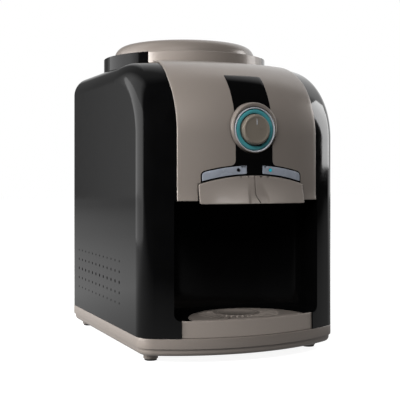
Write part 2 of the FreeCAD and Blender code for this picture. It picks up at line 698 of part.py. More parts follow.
grille_rim = S.tray_radius - S.tray_wall - S.grille_gap
grille_disc = common(
    "grille_disc",
    cylinder("grille_round", grille_rim, S.grille_top - S.grille_bottom, 0, S.tray_y, S.grille_bottom),
    inside_front("grille_front", tray_back + S.grille_gap, 0, 80))
slot_near = S.platform_radius + S.slot_margin
spokes = []
SPOKES = 30
for i in range(SPOKES):
    angle = 360.0 * (i + 0.5) / SPOKES
    spoke = doc.addObject("Part::Box", f"grille_slot_{i}")
    bind(spoke, Length=S.slot_length, Width=S.grille_slot, Height=10.0)
    spoke.Placement = FreeCAD.Placement(V(), FreeCAD.Rotation(V(0, 0, 1), angle))
    cosine, sine = math.cos(math.radians(angle)), math.sin(math.radians(angle))
    start = {
        "x": slot_near * cosine + S.grille_slot / 2 * sine,
        "y": S.platform_y + slot_near * sine - S.grille_slot / 2 * cosine,
        "z": S.grille_bottom - 3,
    }
    for axis, value in start.items():
        spoke.setExpression(f"Placement.Base.{axis}", value.text)
    spokes.append(spoke)
slot_field = common(
    "grille_slots", fuse("grille_spokes", *spokes),
    cylinder("slot_round", S.tray_radius - 9, 60, 0, S.tray_y, 20),
    inside_front("slot_front", tray_back + 8, 0, 80))
groove_ring = tube("platform_groove", S.platform_radius + S.groove_width, S.platform_radius, 5, 0,
                   S.platform_y, S.grille_top - S.groove_depth)
node(cut("drip_grille", grille_disc, slot_field, groove_ring))


# ---------------------------------------------------------------- display strip, label plates, lenses

LABEL_Z = (S.label_top - 20, S.label_top + 30)   # from below the arched band to above it
label_band = common(
    "label_band",
    cut("label_ring", label_disc("label_over", S.label_height), label_disc("label_under", size(0))),
    box("label_width", (-S.label_half, S.label_half), (AHEAD, AHEAD + DEEP), LABEL_Z))
strip_face = fuse(
    "strip_face", label_band,
    box("strip_run", (-S.strip_half, S.strip_half), (AHEAD, 0), (S.label_top + 5, S.strip_top)))
strip_skin = cut("strip_skin", strip_outer, panel_outer)
plate_skin = cut("plate_skin", plate_outer, panel_outer)
plate_band = cut("plate_band", label_disc("plate_over", S.label_height - S.label_border),
                 label_disc("plate_under", S.label_border))
plate_fields = [
    common(f"plate_field_{side}", plate_band,
           box(f"plate_block_{side}", span(sign, S.plate_near, S.plate_far), (AHEAD, AHEAD + DEEP),
               LABEL_Z))
    for side, sign in sides()
]
node(cut("display_strip", common("strip_solid", strip_skin, strip_face), knob_hole, *lens_holes,
         *plate_fields))
for (side, sign), field in zip(sides(), plate_fields):
    node(cut(f"label_plate_{side}", common(f"plate_solid_{side}", plate_skin, field), *lens_holes))
    node(cylinder(f"led_lens_{side}", S.lens_radius, S.lens_length, S.lens_x * sign, S.lens_front,
                  S.lens_z, "Y"))
node(fuse(
    "led_board",
    box("board", (-S.board_half, S.board_half), (S.board_y, S.board_y + S.board_thick),
        (S.board_bottom, S.board_top)),
    *[cylinder(f"diode_{side}", S.diode_radius, S.diode_length, S.lens_x * sign,
               S.board_y - S.diode_length, S.lens_z, "Y")
      for side, sign in sides()]))


# ---------------------------------------------------------------- thermostat, its dial and knob

bezel_front = S.panel_front - S.bezel_rise
dial_front = S.dial_y - S.dial_thick
node(cut("knob_bezel",
         cylinder("bezel_boss", S.bezel_radius, S.neck_front - bezel_front, 0, bezel_front, bezel_z, "Y"),
         cylinder("bezel_cup", S.bezel_bore, S.dial_y - bezel_front, 0, bezel_front, S.knob_z, "Y"),
         cylinder("bezel_eye", S.eye_radius, THROUGH, 0, bezel_front, S.knob_z, "Y")))
node(tube("dial_plate", S.bezel_bore - 0.1, S.eye_radius, S.dial_thick, 0, dial_front, S.knob_z, "Y"))
node(tube("teal_ring", S.teal_outer, S.teal_inner, S.teal_rise, 0, dial_front - S.teal_rise,
          S.knob_z, "Y"))
node(tube("silver_ring", S.silver_outer, S.silver_inner, S.silver_rise, 0, dial_front - S.silver_rise,
          S.knob_z, "Y"))
knob_depth = dial_front - S.knob_gap - S.knob_front
knob = turned("knob_turned", [
    (0, 0.5), (S.knob_face - 2.5, 0.5), (S.knob_face - 0.6, 0), (S.knob_face, 0.4), (S.knob_radius, 4.5),
    (S.knob_radius, knob_depth), (S.shaft_radius, knob_depth), (S.shaft_radius, S.knob_socket),
    (0, S.knob_socket),
], 0, S.knob_front, S.knob_z, "Y")
node(cut("thermostat_knob", knob,
         box("knob_mark", (-S.mark_half, S.mark_half), (AHEAD, S.knob_front + S.mark_depth),
             (S.knob_z + S.mark_low, S.knob_z + S.mark_high))))
node(cylinder("thermostat_shaft", S.shaft_radius, S.shaft_length, 0, S.knob_front + S.knob_socket,
              S.knob_z, "Y"))
node(cut(
    "thermostat_body",
    fuse("thermostat_block",
         box("thermostat_case", (-S.thermostat_half, S.thermostat_half),
             (S.thermostat_front, S.thermostat_rear),
             (S.knob_z - S.thermostat_rise, S.knob_z + S.thermostat_rise)),
         cylinder("thermostat_neck", S.neck_radius, S.thermostat_front - S.neck_front, 0, S.neck_front,
                  S.knob_z, "Y")),
    cylinder("thermostat_bore", S.shaft_radius + S.running_gap, THROUGH / 3, 0, S.dial_y, S.knob_z, "Y")))


# ---------------------------------------------------------------- push levers, their pins and the taps

lever_base = S.lever_bottom
plate_top = S.label_top + 2
lever_ring = turned("lever_ring", [
    (S.panel_arc + 4.4, lever_base), (S.panel_arc + 7.4, lever_base), (S.panel_arc + 7.7, lever_base + 1.5),
    (S.panel_arc + 6.5, lever_base + 6), (S.panel_arc + 4.2, lever_base + 15),
    (S.panel_arc + 2, lever_base + 27), (S.panel_arc + 0.6, plate_top), (S.panel_arc - 2, plate_top),
    (S.panel_arc - 2, lever_base + 29), (S.panel_arc + 1.2, lever_base + 15),
    (S.panel_arc + 3.4, lever_base + 6),
], 0, PANEL_ARC_Y, 0)
lever_limit = cylinder("lever_limit", S.panel_arc - 0.5, TALL, 0, PANEL_ARC_Y, 0)
LUGS = (("near", 14, 18), ("far", 62, 66))    # where each lug starts and ends, from the middle
for side, sign in sides():
    arch = label_disc(f"lever_arch_{side}", -S.lever_split)
    field = box(f"lever_field_{side}", span(sign, S.lever_split, S.lever_half), (AHEAD, AHEAD + DEEP),
                (0, TALL))
    plate = common(f"lever_plate_{side}", lever_ring, field, arch)
    lugs = [
        box(f"lever_lug_{name}_{side}", span(sign, near, far), (AHEAD, S.pin_y + S.lug_reach),
            (S.pin_z - S.lug_below, S.pin_z + S.lug_above))
        for name, near, far in LUGS
    ]
    lug = common(f"lever_lugs_{side}", fuse(f"lever_lug_pair_{side}", *lugs), lever_limit)
    pusher = common(
        f"lever_pusher_{side}",
        box(f"lever_pusher_block_{side}", span(sign, S.tap_x - S.pusher_half, S.tap_x + S.pusher_half),
            (AHEAD, S.pin_y + S.lug_reach), (S.tap_z - S.pusher_rise, S.tap_z + S.pusher_rise)),
        cylinder(f"lever_pusher_limit_{side}", S.panel_arc + 1.3, TALL, 0, PANEL_ARC_Y, 0))
    bore = cylinder(f"lever_bore_{side}", S.pin_radius + S.running_gap, WIDE * 2, -WIDE, S.pin_y,
                    S.pin_z, "X")
    node(cut(f"lever_{side}", fuse(f"lever_solid_{side}", plate, lug, pusher), bore))
pins = [
    cylinder(f"pin_{side}", S.pin_radius, S.pin_far - S.pin_near, span(sign, S.pin_near, S.pin_far)[0],
             S.pin_y, S.pin_z, "X")
    for side, sign in sides()
]
BRACKET_Y = (S.bracket_front, S.bracket_rear)
node(group("lever_pins", *pins))
bracket = common(
    "bracket_solid",
    fuse("bracket_block",
         box("bracket_bar", (-S.bracket_half, S.bracket_half), (S.pin_y, S.bracket_rear),
             (S.bar_bottom, S.bar_top)),
         box("bracket_centre", (-S.bracket_middle, S.bracket_middle), BRACKET_Y,
             (S.bracket_foot, S.bar_top)),
         box("bracket_front_end", (-S.bracket_nose, S.bracket_nose), (AHEAD, S.pin_y),
             (S.bar_bottom + 0.5, S.bar_top)),
         *[box(f"bracket_end_{side}", span(sign, S.bracket_ear, S.bracket_half), BRACKET_Y,
               (S.bracket_foot, S.bar_top)) for side, sign in sides()]),
    panel_inner)
node(cut("lever_bracket", bracket,
         cylinder("bracket_bore", S.pin_radius, WIDE * 2, -WIDE, S.pin_y, S.pin_z, "X")))

chamber_y = S.tap_y + S.tap_front_wall
chamber_end = chamber_y + S.chamber_length
tap_end = S.tap_y + S.tap_length
collar_y = S.tap_y - S.plunger_reach + S.plunger_length
for side, sign in sides():
    x = S.tap_x * sign
    node(cut(
        f"tap_body_{side}",
        fuse(f"tap_solid_{side}",
             cylinder(f"tap_barrel_{side}", S.tap_radius, S.tap_length, x, S.tap_y, S.tap_z, "Y"),
             cylinder(f"tap_nozzle_{side}", S.nozzle_radius, S.tap_z - S.nozzle_tip, x, S.nozzle_y,
                      S.nozzle_tip),
             cylinder(f"tap_inlet_{side}", S.inlet_radius, S.inlet_length, x, tap_end, S.tap_z, "Y")),
        cylinder(f"tap_bore_{side}", S.plunger_radius + S.running_gap, S.tap_front_wall + 1, x, S.tap_y,
                 S.tap_z, "Y"),
        cylinder(f"tap_chamber_{side}", S.tap_chamber, S.chamber_length, x, chamber_y, S.tap_z, "Y"),
        cylinder(f"tap_outlet_{side}", S.outlet_radius, S.tap_z - S.nozzle_tip + 1, x, S.nozzle_y,
                 S.nozzle_tip - 1),
        cylinder(f"tap_feed_{side}", S.feed_radius, THROUGH / 3, x, chamber_end - 1, S.tap_z, "Y")))
    node(fuse(
        f"tap_plunger_{side}",
        cylinder(f"plunger_rod_{side}", S.plunger_radius, S.plunger_length, x, S.tap_y - S.plunger_reach,
                 S.tap_z, "Y"),
        cylinder(f"plunger_collar_{side}", S.collar_radius, S.collar_thick, x, collar_y, S.tap_z, "Y"),
        cylinder(f"plunger_guide_{side}", S.guide_radius, S.guide_length, x, collar_y + S.collar_thick,
                 S.tap_z, "Y")))
    node(wound(f"tap_spring_{side}", "spring_radius", "spring_pitch", "spring_length", "spring_wire",
               (x, collar_y + S.collar_thick + S.spring_wire + 0.05, S.tap_z), "Y"))


# ---------------------------------------------------------------- bottle seat and tanks

flange = S.ring_top - S.seat_flange
flange_edge = S.ring_radius - S.ring_wall - SEAT_GAP
seat_floor = S.ring_top - 28
seat = turned("bottle_seat", [
    (flange_edge, flange), (flange_edge, S.ring_top),
    (S.seat_radius, S.ring_top), (S.seat_radius - 6.7, S.ring_top + 11.5), (S.rim_radius + 2.6, S.seat_top),
    (S.rim_radius - 4, S.seat_top), (S.rim_radius - 9, S.ring_top - 14), (S.rim_radius - 18, S.ring_top - 24),
    (33, seat_floor + 1), (S.through_radius, seat_floor), (S.through_radius, seat_floor - 3),
    (33, seat_floor - 2),
    (S.rim_radius - 16.5, S.ring_top - 27), (S.rim_radius - 6, S.ring_top - 16),
    (S.rim_radius - 1.4, S.seat_top - 3), (S.rim_radius + 1.6, S.seat_top - 3),
    (S.seat_radius - 9, S.ring_top + 9.5), (S.seat_radius - 3.4, flange),
], 0, S.ring_y, 0)
node(seat)
spike_edge = S.through_radius - 0.2
spike_tip = seat_floor + 37
node(turned("bottle_spike", [
    (6, seat_floor - 8), (spike_edge, seat_floor - 8), (spike_edge, seat_floor + 1.2),
    (22, seat_floor + 1.2), (22, seat_floor + 3.4), (11, seat_floor + 4), (10.4, seat_floor + 33),
    (8, spike_tip), (6, spike_tip),
], 0, S.ring_y, 0))
node(turned("water_tank", [
    (0, S.tank_bottom), (S.tank_radius, S.tank_bottom), (S.tank_radius, S.tank_top - S.tank_wall),
    (S.tank_flange, S.tank_top - S.tank_wall), (S.tank_flange, S.tank_top),
    (S.tank_radius - S.tank_wall, S.tank_top), (S.tank_radius - S.tank_wall, S.tank_bottom + S.tank_wall),
    (0, S.tank_bottom + S.tank_wall),
], 0, S.ring_y, 0))
node(tube("tank_gasket", S.tank_flange, S.mouth_radius, S.casing_top - S.casing_wall - S.tank_top, 0,
          S.ring_y, S.tank_top))
tank_floor = S.tank_bottom + S.tank_wall
disc_edge = S.tank_radius - 6
node(turned("separator_disc", [
    (13, tank_floor), (15, tank_floor), (15, tank_floor + 14), (disc_edge, tank_floor + 20),
    (disc_edge, tank_floor + 22), (13, tank_floor + 16),
], 0, S.ring_y, 0))
neck_bore = S.through_radius - S.cold_wall
cold_bore = S.cold_radius - S.cold_wall
node(turned("cold_tank", [
    (0, S.cold_bottom), (S.cold_radius, S.cold_bottom), (S.cold_radius, S.cold_top),
    (S.through_radius, S.cold_top), (S.through_radius, S.tank_bottom), (neck_bore, S.tank_bottom),
    (neck_bore, S.cold_top - S.cold_wall), (cold_bore, S.cold_top - S.cold_wall),
    (cold_bore, S.cold_bottom + S.cold_wall), (0, S.cold_bottom + S.cold_wall),
], 0, S.ring_y, 0))
shelf_top = S.shelf_z + S.shelf_thick
foam_neck = S.through_radius + 0.5
foam_roof = S.cold_top + 2
node(turned("tank_insulation", [
    (0, shelf_top), (S.foam_radius, shelf_top), (S.foam_radius, S.foam_top), (foam_neck, S.foam_top),
    (foam_neck, foam_roof), (S.foam_bore, foam_roof), (S.foam_bore, S.cold_bottom), (0, S.cold_bottom),
], 0, S.ring_y, 0))
node(wound("evaporator_coil", "evaporator_radius", "evaporator_pitch", "evaporator_rise",
           "evaporator_tube", (0, S.ring_y, S.cold_bottom + 12)))


# ---------------------------------------------------------------- shelf, pipes and compressor

RISER_X, RISER_Y = 90.0, 150.0               # where the discharge pipe climbs past the shelf
SUCTION_Y = 162.0
DRYER_X, DRYER_Y = -90.0, 150.0
DRAIN_X = -42.0
shelf_holes = [
    cylinder(f"shelf_hole_{name}", S.shelf_hole, THROUGH / 3, x, y, S.shelf_z - 10)
    for name, x, y in (("riser", RISER_X, RISER_Y), ("suction", 0, SUCTION_Y),
                       ("dryer", DRYER_X, DRYER_Y), ("drain", DRAIN_X, S.motor_y))
]
node(cut("inner_shelf",
         common("shelf_plate", casing_inner,
                box("shelf_block", ALL_X, (S.recess_side_y + S.recess_bow + 5, S.rear_floor_y - 0.2),
                    (S.shelf_z, shelf_top))),
         *shelf_holes))

MOTOR_X, MOTOR_Y = read("motor_x"), read("motor_y")
MOTOR_TOP = read("motor_top")
COIL_Y = read("coil_y")
COIL_END = read("coil_end")
COIL_LOW = read("coil_bottom")
ROWS = 13                                    # runs of the condenser across the back
COIL_HIGH = COIL_LOW + (ROWS - 1) * read("coil_pitch")
SHEET_Y = read("rear_floor_y")
OUTLET_Z = read("outlet_z")
TAP_X, TAP_Z = read("tap_x"), read("tap_z")
INLET_Y = read("tap_y") + read("tap_length") + read("inlet_length")


def motor_can(label, shrink):
    """The compressor's pressed steel can, made smaller all round by the amount given."""
    body = doc.addObject("PartDesign::Body", label)
    plan = sketch(body, label + "_plan", "XY_Plane")
    radius = S.motor_radius - shrink
    plan.addGeometry(Part.Circle(V(0, 0, 0), V(0, 0, 1), radius.value))
    plan.addConstraint(Sketcher.Constraint("Coincident", 0, 3, -1, 1))
    index = plan.addConstraint(Sketcher.Constraint("Radius", 0, radius.value))
    plan.setExpression(f"Constraints[{index}]", radius.text)
    can = body.newObject("PartDesign::Pad", label + "_can")
    can.Profile = plan
    bind(can, Length=S.motor_top - S.motor_bottom - shrink * 2)
    doc.recompute()
    rounded(body, label + "_dome", S.motor_dome - shrink, lambda b: b.ZMin > 10)
    rounded(body, label + "_bowl", S.motor_bowl - shrink, lambda b: b.ZMax < 0.01)
    return place(body, S.motor_x, S.motor_y, S.motor_bottom + shrink)


CAN_WALL = 8.0                               # stands for the can and the motor sealed inside it
node(cut("compressor", motor_can("motor_outside", size(0)), motor_can("motor_inside", size(CAN_WALL))))
GROMMETS = [(S.motor_x + i * S.motor_foot, S.motor_y + j * S.motor_foot, f"{i}_{j}")
            for i in (-1, 1) for j in (-1, 1)]
arm_bottom = S.motor_bottom - S.arm_thick
arm_z = (arm_bottom, S.motor_bottom)
arm_end = S.motor_foot + S.arm_half
arms = []
for i in (-1, 1):
    arm_y = S.motor_y + i * S.motor_foot
    arms.append(box(f"motor_arm_{i}", (S.motor_x - arm_end, S.motor_x + arm_end),
                    (arm_y - S.arm_half, arm_y + S.arm_half), arm_z))
spine = box("motor_spine", (S.motor_x - S.spine_half, S.motor_x + S.spine_half),
            (S.motor_y - S.motor_foot, S.motor_y + S.motor_foot), arm_z)
node(cut("compressor_bracket", fuse("motor_arms", *arms, spine),
         *[cylinder(f"motor_arm_hole_{name}", S.grommet_bore, THROUGH / 3, x, y, S.motor_foot_z)
           for x, y, name in GROMMETS]))
node(group("compressor_grommets", *[
    tube(f"grommet_{name}", S.grommet_radius, S.grommet_bore, arm_bottom - S.motor_foot_z, x, y,
         S.motor_foot_z)
    for x, y, name in GROMMETS]))
node(cut("relay_cover",
         box("relay_block", (S.motor_x + S.motor_radius - 5, S.motor_x + S.motor_radius + S.relay_depth),
             (S.motor_y - S.relay_half, S.motor_y + S.relay_half), (S.relay_bottom, S.relay_top)),
         cylinder("relay_hollow", S.motor_radius, DEEP, S.motor_x, S.motor_y, S.motor_bottom)))
CROSSING_Z = 197.0                           # where the pipes cross under the shelf
DISCHARGE_Y = MOTOR_Y + 15
node(pipe("discharge_pipe", [
    (MOTOR_X, DISCHARGE_Y, MOTOR_TOP), (MOTOR_X, DISCHARGE_Y, CROSSING_Z),
    (RISER_X, DISCHARGE_Y, CROSSING_Z), (RISER_X, RISER_Y, CROSSING_Z), (RISER_X, RISER_Y, COIL_HIGH),
    (RISER_X, SHEET_Y, COIL_HIGH)], radius=read("coil_radius"), bend=8))
SUCTION_Z = 240.0                            # where the suction pipe leaves the insulation
RETURN_X, RETURN_Y = 20.0, MOTOR_Y - 10
node(pipe("suction_pipe", [
    (0, read("ring_y") + read("foam_radius") + 0.2, SUCTION_Z), (0, SUCTION_Y, SUCTION_Z),
    (0, SUCTION_Y, CROSSING_Z - 1), (RETURN_X, RETURN_Y, CROSSING_Z - 1),
    (RETURN_X, RETURN_Y, MOTOR_TOP)], radius=read("evaporator_tube"), bend=8))
DRYER_LOW, DRYER_HIGH = 95.0, 175.0
CAPILLARY_Z = 236.0
node(cylinder("dryer_filter", 8, DRYER_HIGH - DRYER_LOW, DRYER_X, DRYER_Y, DRYER_LOW))
node(pipe("capillary_tube", [
    (DRYER_X, DRYER_Y, DRYER_HIGH), (DRYER_X, DRYER_Y, CAPILLARY_Z), (-66.5, 126.5, CAPILLARY_Z)],
    radius=1.2, bend=6))
node(pipe("drain_tube", [
    (DRAIN_X, MOTOR_Y, read("shelf_z") + 1.8), (DRAIN_X, MOTOR_Y, OUTLET_Z),
    (DRAIN_X, SHEET_Y + 6, OUTLET_Z)], radius=read("drain_radius"), bend=15))
TUBE_RADIUS = 4.0
TUBE_Y, TANK_FRONT = -66.0, -34.0            # where the natural water tube rises and meets the tank
TUBE_TOP = 318.0
COLD_TUBE = 75.2                             # from the tap to the cold tank's insulation
node(group(
    "water_tubes",
    pipe("natural_water_tube", [
        (-TAP_X, INLET_Y, TAP_Z), (-TAP_X, TUBE_Y, TAP_Z), (-TAP_X, TUBE_Y, TUBE_TOP),
        (-TAP_X, TANK_FRONT, TUBE_TOP)], radius=TUBE_RADIUS, bend=12),
    cylinder("cold_water_tube", TUBE_RADIUS, COLD_TUBE, S.tap_x, INLET_Y, S.tap_z, "Y")))


# ---------------------------------------------------------------- rear panel, condenser and outlets

rear_inner = S.rear_y - S.casing_wall
thick = S.sheet_thick
tray_x = (-S.window_half, S.window_half)
node(cut(
    "rear_panel",
    fuse("rear_block",
         box("rear_flange", (-S.screw_x - 6, S.screw_x + 6), (rear_inner - thick, rear_inner),
             (S.window_bottom - 10, S.window_top + 12)),
         box("rear_tray", tray_x, (S.rear_floor_y, rear_inner), (S.window_bottom, S.window_top))),
    box("rear_hollow", (-S.window_half + thick, S.window_half - thick), (S.rear_floor_y + thick, ALL_Y[1]),
        (S.window_bottom + thick, S.window_top - thick)),
    *screw_holes,
    *[cylinder(f"{name}_hole", radius, THROUGH / 3, x, SHEET_Y - 5, z, "Y") for name, radius, x, z in (
        ("coil_top", S.coil_radius, S.coil_end, COIL_HIGH),
        ("coil_low", S.coil_radius, -S.coil_end, COIL_LOW),
        ("drain", S.drain_radius, DRAIN_X, S.outlet_z),
        ("gland", S.gland_radius, -DRAIN_X, S.outlet_z))]))
node(group("rear_screws", *[
    fuse(f"screw_{name}",
         cylinder(f"screw_head_{name}", S.screw_head, S.screw_head_thick, x, S.rear_y, z, "Y"),
         cylinder(f"screw_shank_{name}", S.screw_radius, S.screw_length, x, S.rear_y - S.screw_length,
                  z, "Y"))
    for name, x, z in screws]))

coil_half = read("coil_half")
route = [(COIL_END, SHEET_Y, COIL_HIGH), (COIL_END, COIL_Y, COIL_HIGH)]
for row in range(ROWS):
    z = COIL_HIGH - row * read("coil_pitch")
    sign = -1 if row % 2 == 0 else 1
    if row > 0:
        route.append((-sign * coil_half, COIL_Y, z))
    if row < ROWS - 1:
        route.append((sign * coil_half, COIL_Y, z))
route += [(-COIL_END, COIL_Y, COIL_LOW), (-COIL_END, DRYER_Y, COIL_LOW), (-COIL_END, DRYER_Y, DRYER_LOW)]
node(pipe("condenser_coil", route, radius=read("coil_radius"), bend=10.9))
WIRES, WIRE_PITCH = 15, 10.0
wires = []
for i in range(WIRES):
    x = WIRE_PITCH * (i - (WIRES - 1) / 2)
    for face, sign in (("near", -1), ("far", 1)):
        y = S.coil_y + sign * (S.coil_radius + S.wire_radius)
        wires.append(
            cylinder(f"wire_{face}_{i}", S.wire_radius, COIL_HIGH - COIL_LOW + 8, x, y, COIL_LOW - 4))
node(group("condenser_wires", *wires))

node(turned("cord_gland", [
    (3.6, -6), (6.0, -6), (6.0, 0), (8.5, 0), (8.5, 3), (7.5, 4), (6.2, 12), (3.6, 12),
], -DRAIN_X, SHEET_Y + thick, S.outlet_z, "Y"))
node(turned("drain_plug", [
    (5.1, 0.3), (8.5, 0.3), (8.5, 11), (7.5, 12), (0, 12), (0, 6.5), (5.1, 6.5),
], DRAIN_X, SHEET_Y + thick, S.outlet_z, "Y"))


# ---------------------------------------------------------------- checks and export

doc.recompute()
os.makedirs("parts", exist_ok=True)
for item in doc.Objects:
    if "Invalid" in item.State or "Error" in item.State:
        raise RuntimeError(f"{item.Label} failed: {item.State}")
for item in nodes:
    if item.Shape.isNull() or not item.Shape.isValid() or not item.Shape.Solids:
        raise RuntimeError(f"{item.Label} has no valid solid")
for item in nodes:
    item.Shape.exportStep(f"parts/{item.Label}.step")
    b = item.Shape.optimalBoundingBox()
    print(f"{item.Label:22} {len(item.Shape.Solids):3} solids {item.Shape.Volume / 1000:9.1f} cm3  "
          f"x {b.XMin:7.1f} {b.XMax:7.1f}  y {b.YMin:7.1f} {b.YMax:7.1f}  z {b.ZMin:7.1f} {b.ZMax:7.1f}")
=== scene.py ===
"""Looks of the countertop water dispenser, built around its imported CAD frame. Metres, front towards -Y."""
import json
import math

import bmesh
import bpy
import numpy as np
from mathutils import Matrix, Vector
from mathutils.geometry import delaunay_2d_cdt


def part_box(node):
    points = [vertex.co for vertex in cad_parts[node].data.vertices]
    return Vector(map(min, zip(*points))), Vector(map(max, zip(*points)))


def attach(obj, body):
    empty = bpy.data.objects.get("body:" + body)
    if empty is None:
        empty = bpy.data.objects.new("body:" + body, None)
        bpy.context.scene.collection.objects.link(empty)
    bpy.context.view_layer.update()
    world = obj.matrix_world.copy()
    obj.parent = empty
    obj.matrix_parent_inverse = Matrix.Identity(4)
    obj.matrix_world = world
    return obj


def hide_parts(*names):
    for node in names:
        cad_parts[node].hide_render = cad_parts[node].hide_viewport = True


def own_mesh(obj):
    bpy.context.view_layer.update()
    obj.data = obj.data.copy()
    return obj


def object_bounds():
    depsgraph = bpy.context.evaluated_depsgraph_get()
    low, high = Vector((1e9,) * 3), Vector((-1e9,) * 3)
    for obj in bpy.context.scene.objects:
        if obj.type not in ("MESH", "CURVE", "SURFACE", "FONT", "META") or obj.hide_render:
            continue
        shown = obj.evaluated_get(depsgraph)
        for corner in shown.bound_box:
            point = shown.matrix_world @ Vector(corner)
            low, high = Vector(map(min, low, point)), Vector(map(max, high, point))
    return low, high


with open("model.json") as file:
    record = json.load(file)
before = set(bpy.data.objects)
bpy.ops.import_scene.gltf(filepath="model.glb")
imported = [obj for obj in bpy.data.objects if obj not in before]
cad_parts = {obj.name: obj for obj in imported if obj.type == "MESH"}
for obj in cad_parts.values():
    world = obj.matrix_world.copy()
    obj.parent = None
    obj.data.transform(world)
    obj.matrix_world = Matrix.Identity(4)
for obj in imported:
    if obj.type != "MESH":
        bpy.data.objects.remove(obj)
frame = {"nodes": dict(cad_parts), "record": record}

CAD_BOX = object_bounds()
NODES = frame["nodes"]
MM = 0.001

# -------------------------------- camera, floor and light

CAMERA_TURN = math.radians(23.27)  # to the left of straight ahead
CAMERA_SPOT = Vector((-0.5150, -1.2069, 0.2429))
CAMERA_LENS = 78.23  # millimetres, as is the sensor's width
CAMERA_SENSOR = 36
CAMERA_SHIFT = -0.0593
CAMERA_REACH = 50
FLOOR_REACH = 8.0  # half the floor's width
PAPER_GREY = (0.35, 0.35, 0.35, 1)
PAPER_ROUGH = 0.9
PAPER_GLOW = 0.9  # brings the floor up to white for the camera
WHITE = (1, 1, 1, 1)

# (place, brightness) pairs of the dim studio round the object: a place runs from 0 at one end of an axis
# to 1 at its other end
ROOM_ACROSS = ((0.0, 0.9), (0.26, 0.6), (0.32, 0.32), (0.37, 0.12), (0.52, 0.12), (0.68, 1.0))
ROOM_DEEP = ((0.50, 0.012), (0.62, 1.0))
FLOOR_MIRRORED = ((0.44, 0.01), (0.50, 0.3), (0.535, 0.55), (0.64, 0.36), (0.85, 0.2))

# name, spot, aim, size, power, and whether glossy surfaces show it
STUDIO_LIGHTS = (
    ("left_box", (-1.53, 0.82, 0.62), (-0.13, -0.14, 0.62), (2.1, 1.2), 5.0, True),
    ("right_box", (1.7, -0.1, 0.75), (0, 0, 0.22), (0.6, 1.0), 8.5, True),
    ("key_box", (-1.1, -1.4, 1.4), (0, 0, 0.22), (1.6, 1.0), 52, False),
    ("side_key", (-2.2, 0.15, 0.75), (0, 0, 0.2), (1.4, 1.0), 80, False),
)
# the same, and the only pieces that the light reaches
PIECE_LIGHTS = (
    ("lever_strip", (0.75, -1.75, 1.15), (0, -0.19, 0.22), (1.3, 0.16), 5, True,
     ("lever_shell_left", "lever_shell_right")),
    ("tray_fill", (-0.7, -1.7, 0.75), (0.03, -0.16, 0.05), (0.9, 0.5), 16, False,
     ("drip_tray_shell", "drip_grille_plate")),
    ("base_fill", (-2.0, 0.1, 0.3), (0, 0, 0.03), (1.0, 0.4), 30, False, ("base_shell",)),
    ("seam_light", (-1.8, -0.42, 0.5), (-0.1, -0.18, 0.3), (0.5, 1.0), 22, True, ("front_panel_skin",)),
)


def link(thing):
    """Puts a new object into the scene."""
    bpy.context.scene.collection.objects.link(thing)
    return thing


def add_camera():
    camera = link(bpy.data.objects.new("camera", bpy.data.cameras.new("camera")))
    camera.location = CAMERA_SPOT
    camera.rotation_euler = (math.radians(90), 0, -CAMERA_TURN)
    camera.data.lens = CAMERA_LENS
    camera.data.sensor_width = CAMERA_SENSOR
    camera.data.shift_y = CAMERA_SHIFT
    camera.data.clip_end = CAMERA_REACH
    bpy.context.scene.camera = camera


def add_light(name, spot, aim, size, power, mirrored):
    """A soft rectangular light at a spot, aimed at a point; a mirrored one shows in glossy surfaces."""
    data = bpy.data.lights.new(name, "AREA")
    data.shape = "RECTANGLE"
    data.size, data.size_y = size
    data.energy = power
    light = link(bpy.data.objects.new(name, data))
    light.location = spot
    light.rotation_euler = (Vector(aim) - Vector(spot)).to_track_quat("-Z", "Y").to_euler()
    light.visible_camera = False
    light.visible_glossy = mirrored
    return light


def flag(light, *pieces):
    """Keeps a light off everything but the pieces named, as a flag does in a studio."""
    lit = bpy.data.collections.new(light.name + "_reach")
    for name in pieces:
        lit.objects.link(bpy.data.objects[name])
    light.light_linking.receiver_collection = lit


def add_ramp(tree, value, stops):
    """A grey ramp over a value: stops are (place, brightness)."""
    ramp = tree.nodes.new("ShaderNodeValToRGB")
    elements = ramp.color_ramp.elements
    while len(elements) < len(stops):
        elements.new(0.5)
    for element, (place, level) in zip(elements, stops):
        element.position = place
        element.color = (level, level, level, 1)
    tree.links.new(value, ramp.inputs[0])
    return ramp.outputs[0]


def seen_directly(tree, others, direct, output):
    """Sends one shader to the camera and another one to all other rays, those that the object mirrors too."""
    rays = tree.nodes.new("ShaderNodeLightPath")
    mix = tree.nodes.new("ShaderNodeMixShader")
    tree.links.new(rays.outputs["Is Camera Ray"], mix.inputs[0])
    tree.links.new(others, mix.inputs[1])
    tree.links.new(direct, mix.inputs[2])
    tree.links.new(mix.outputs[0], output)


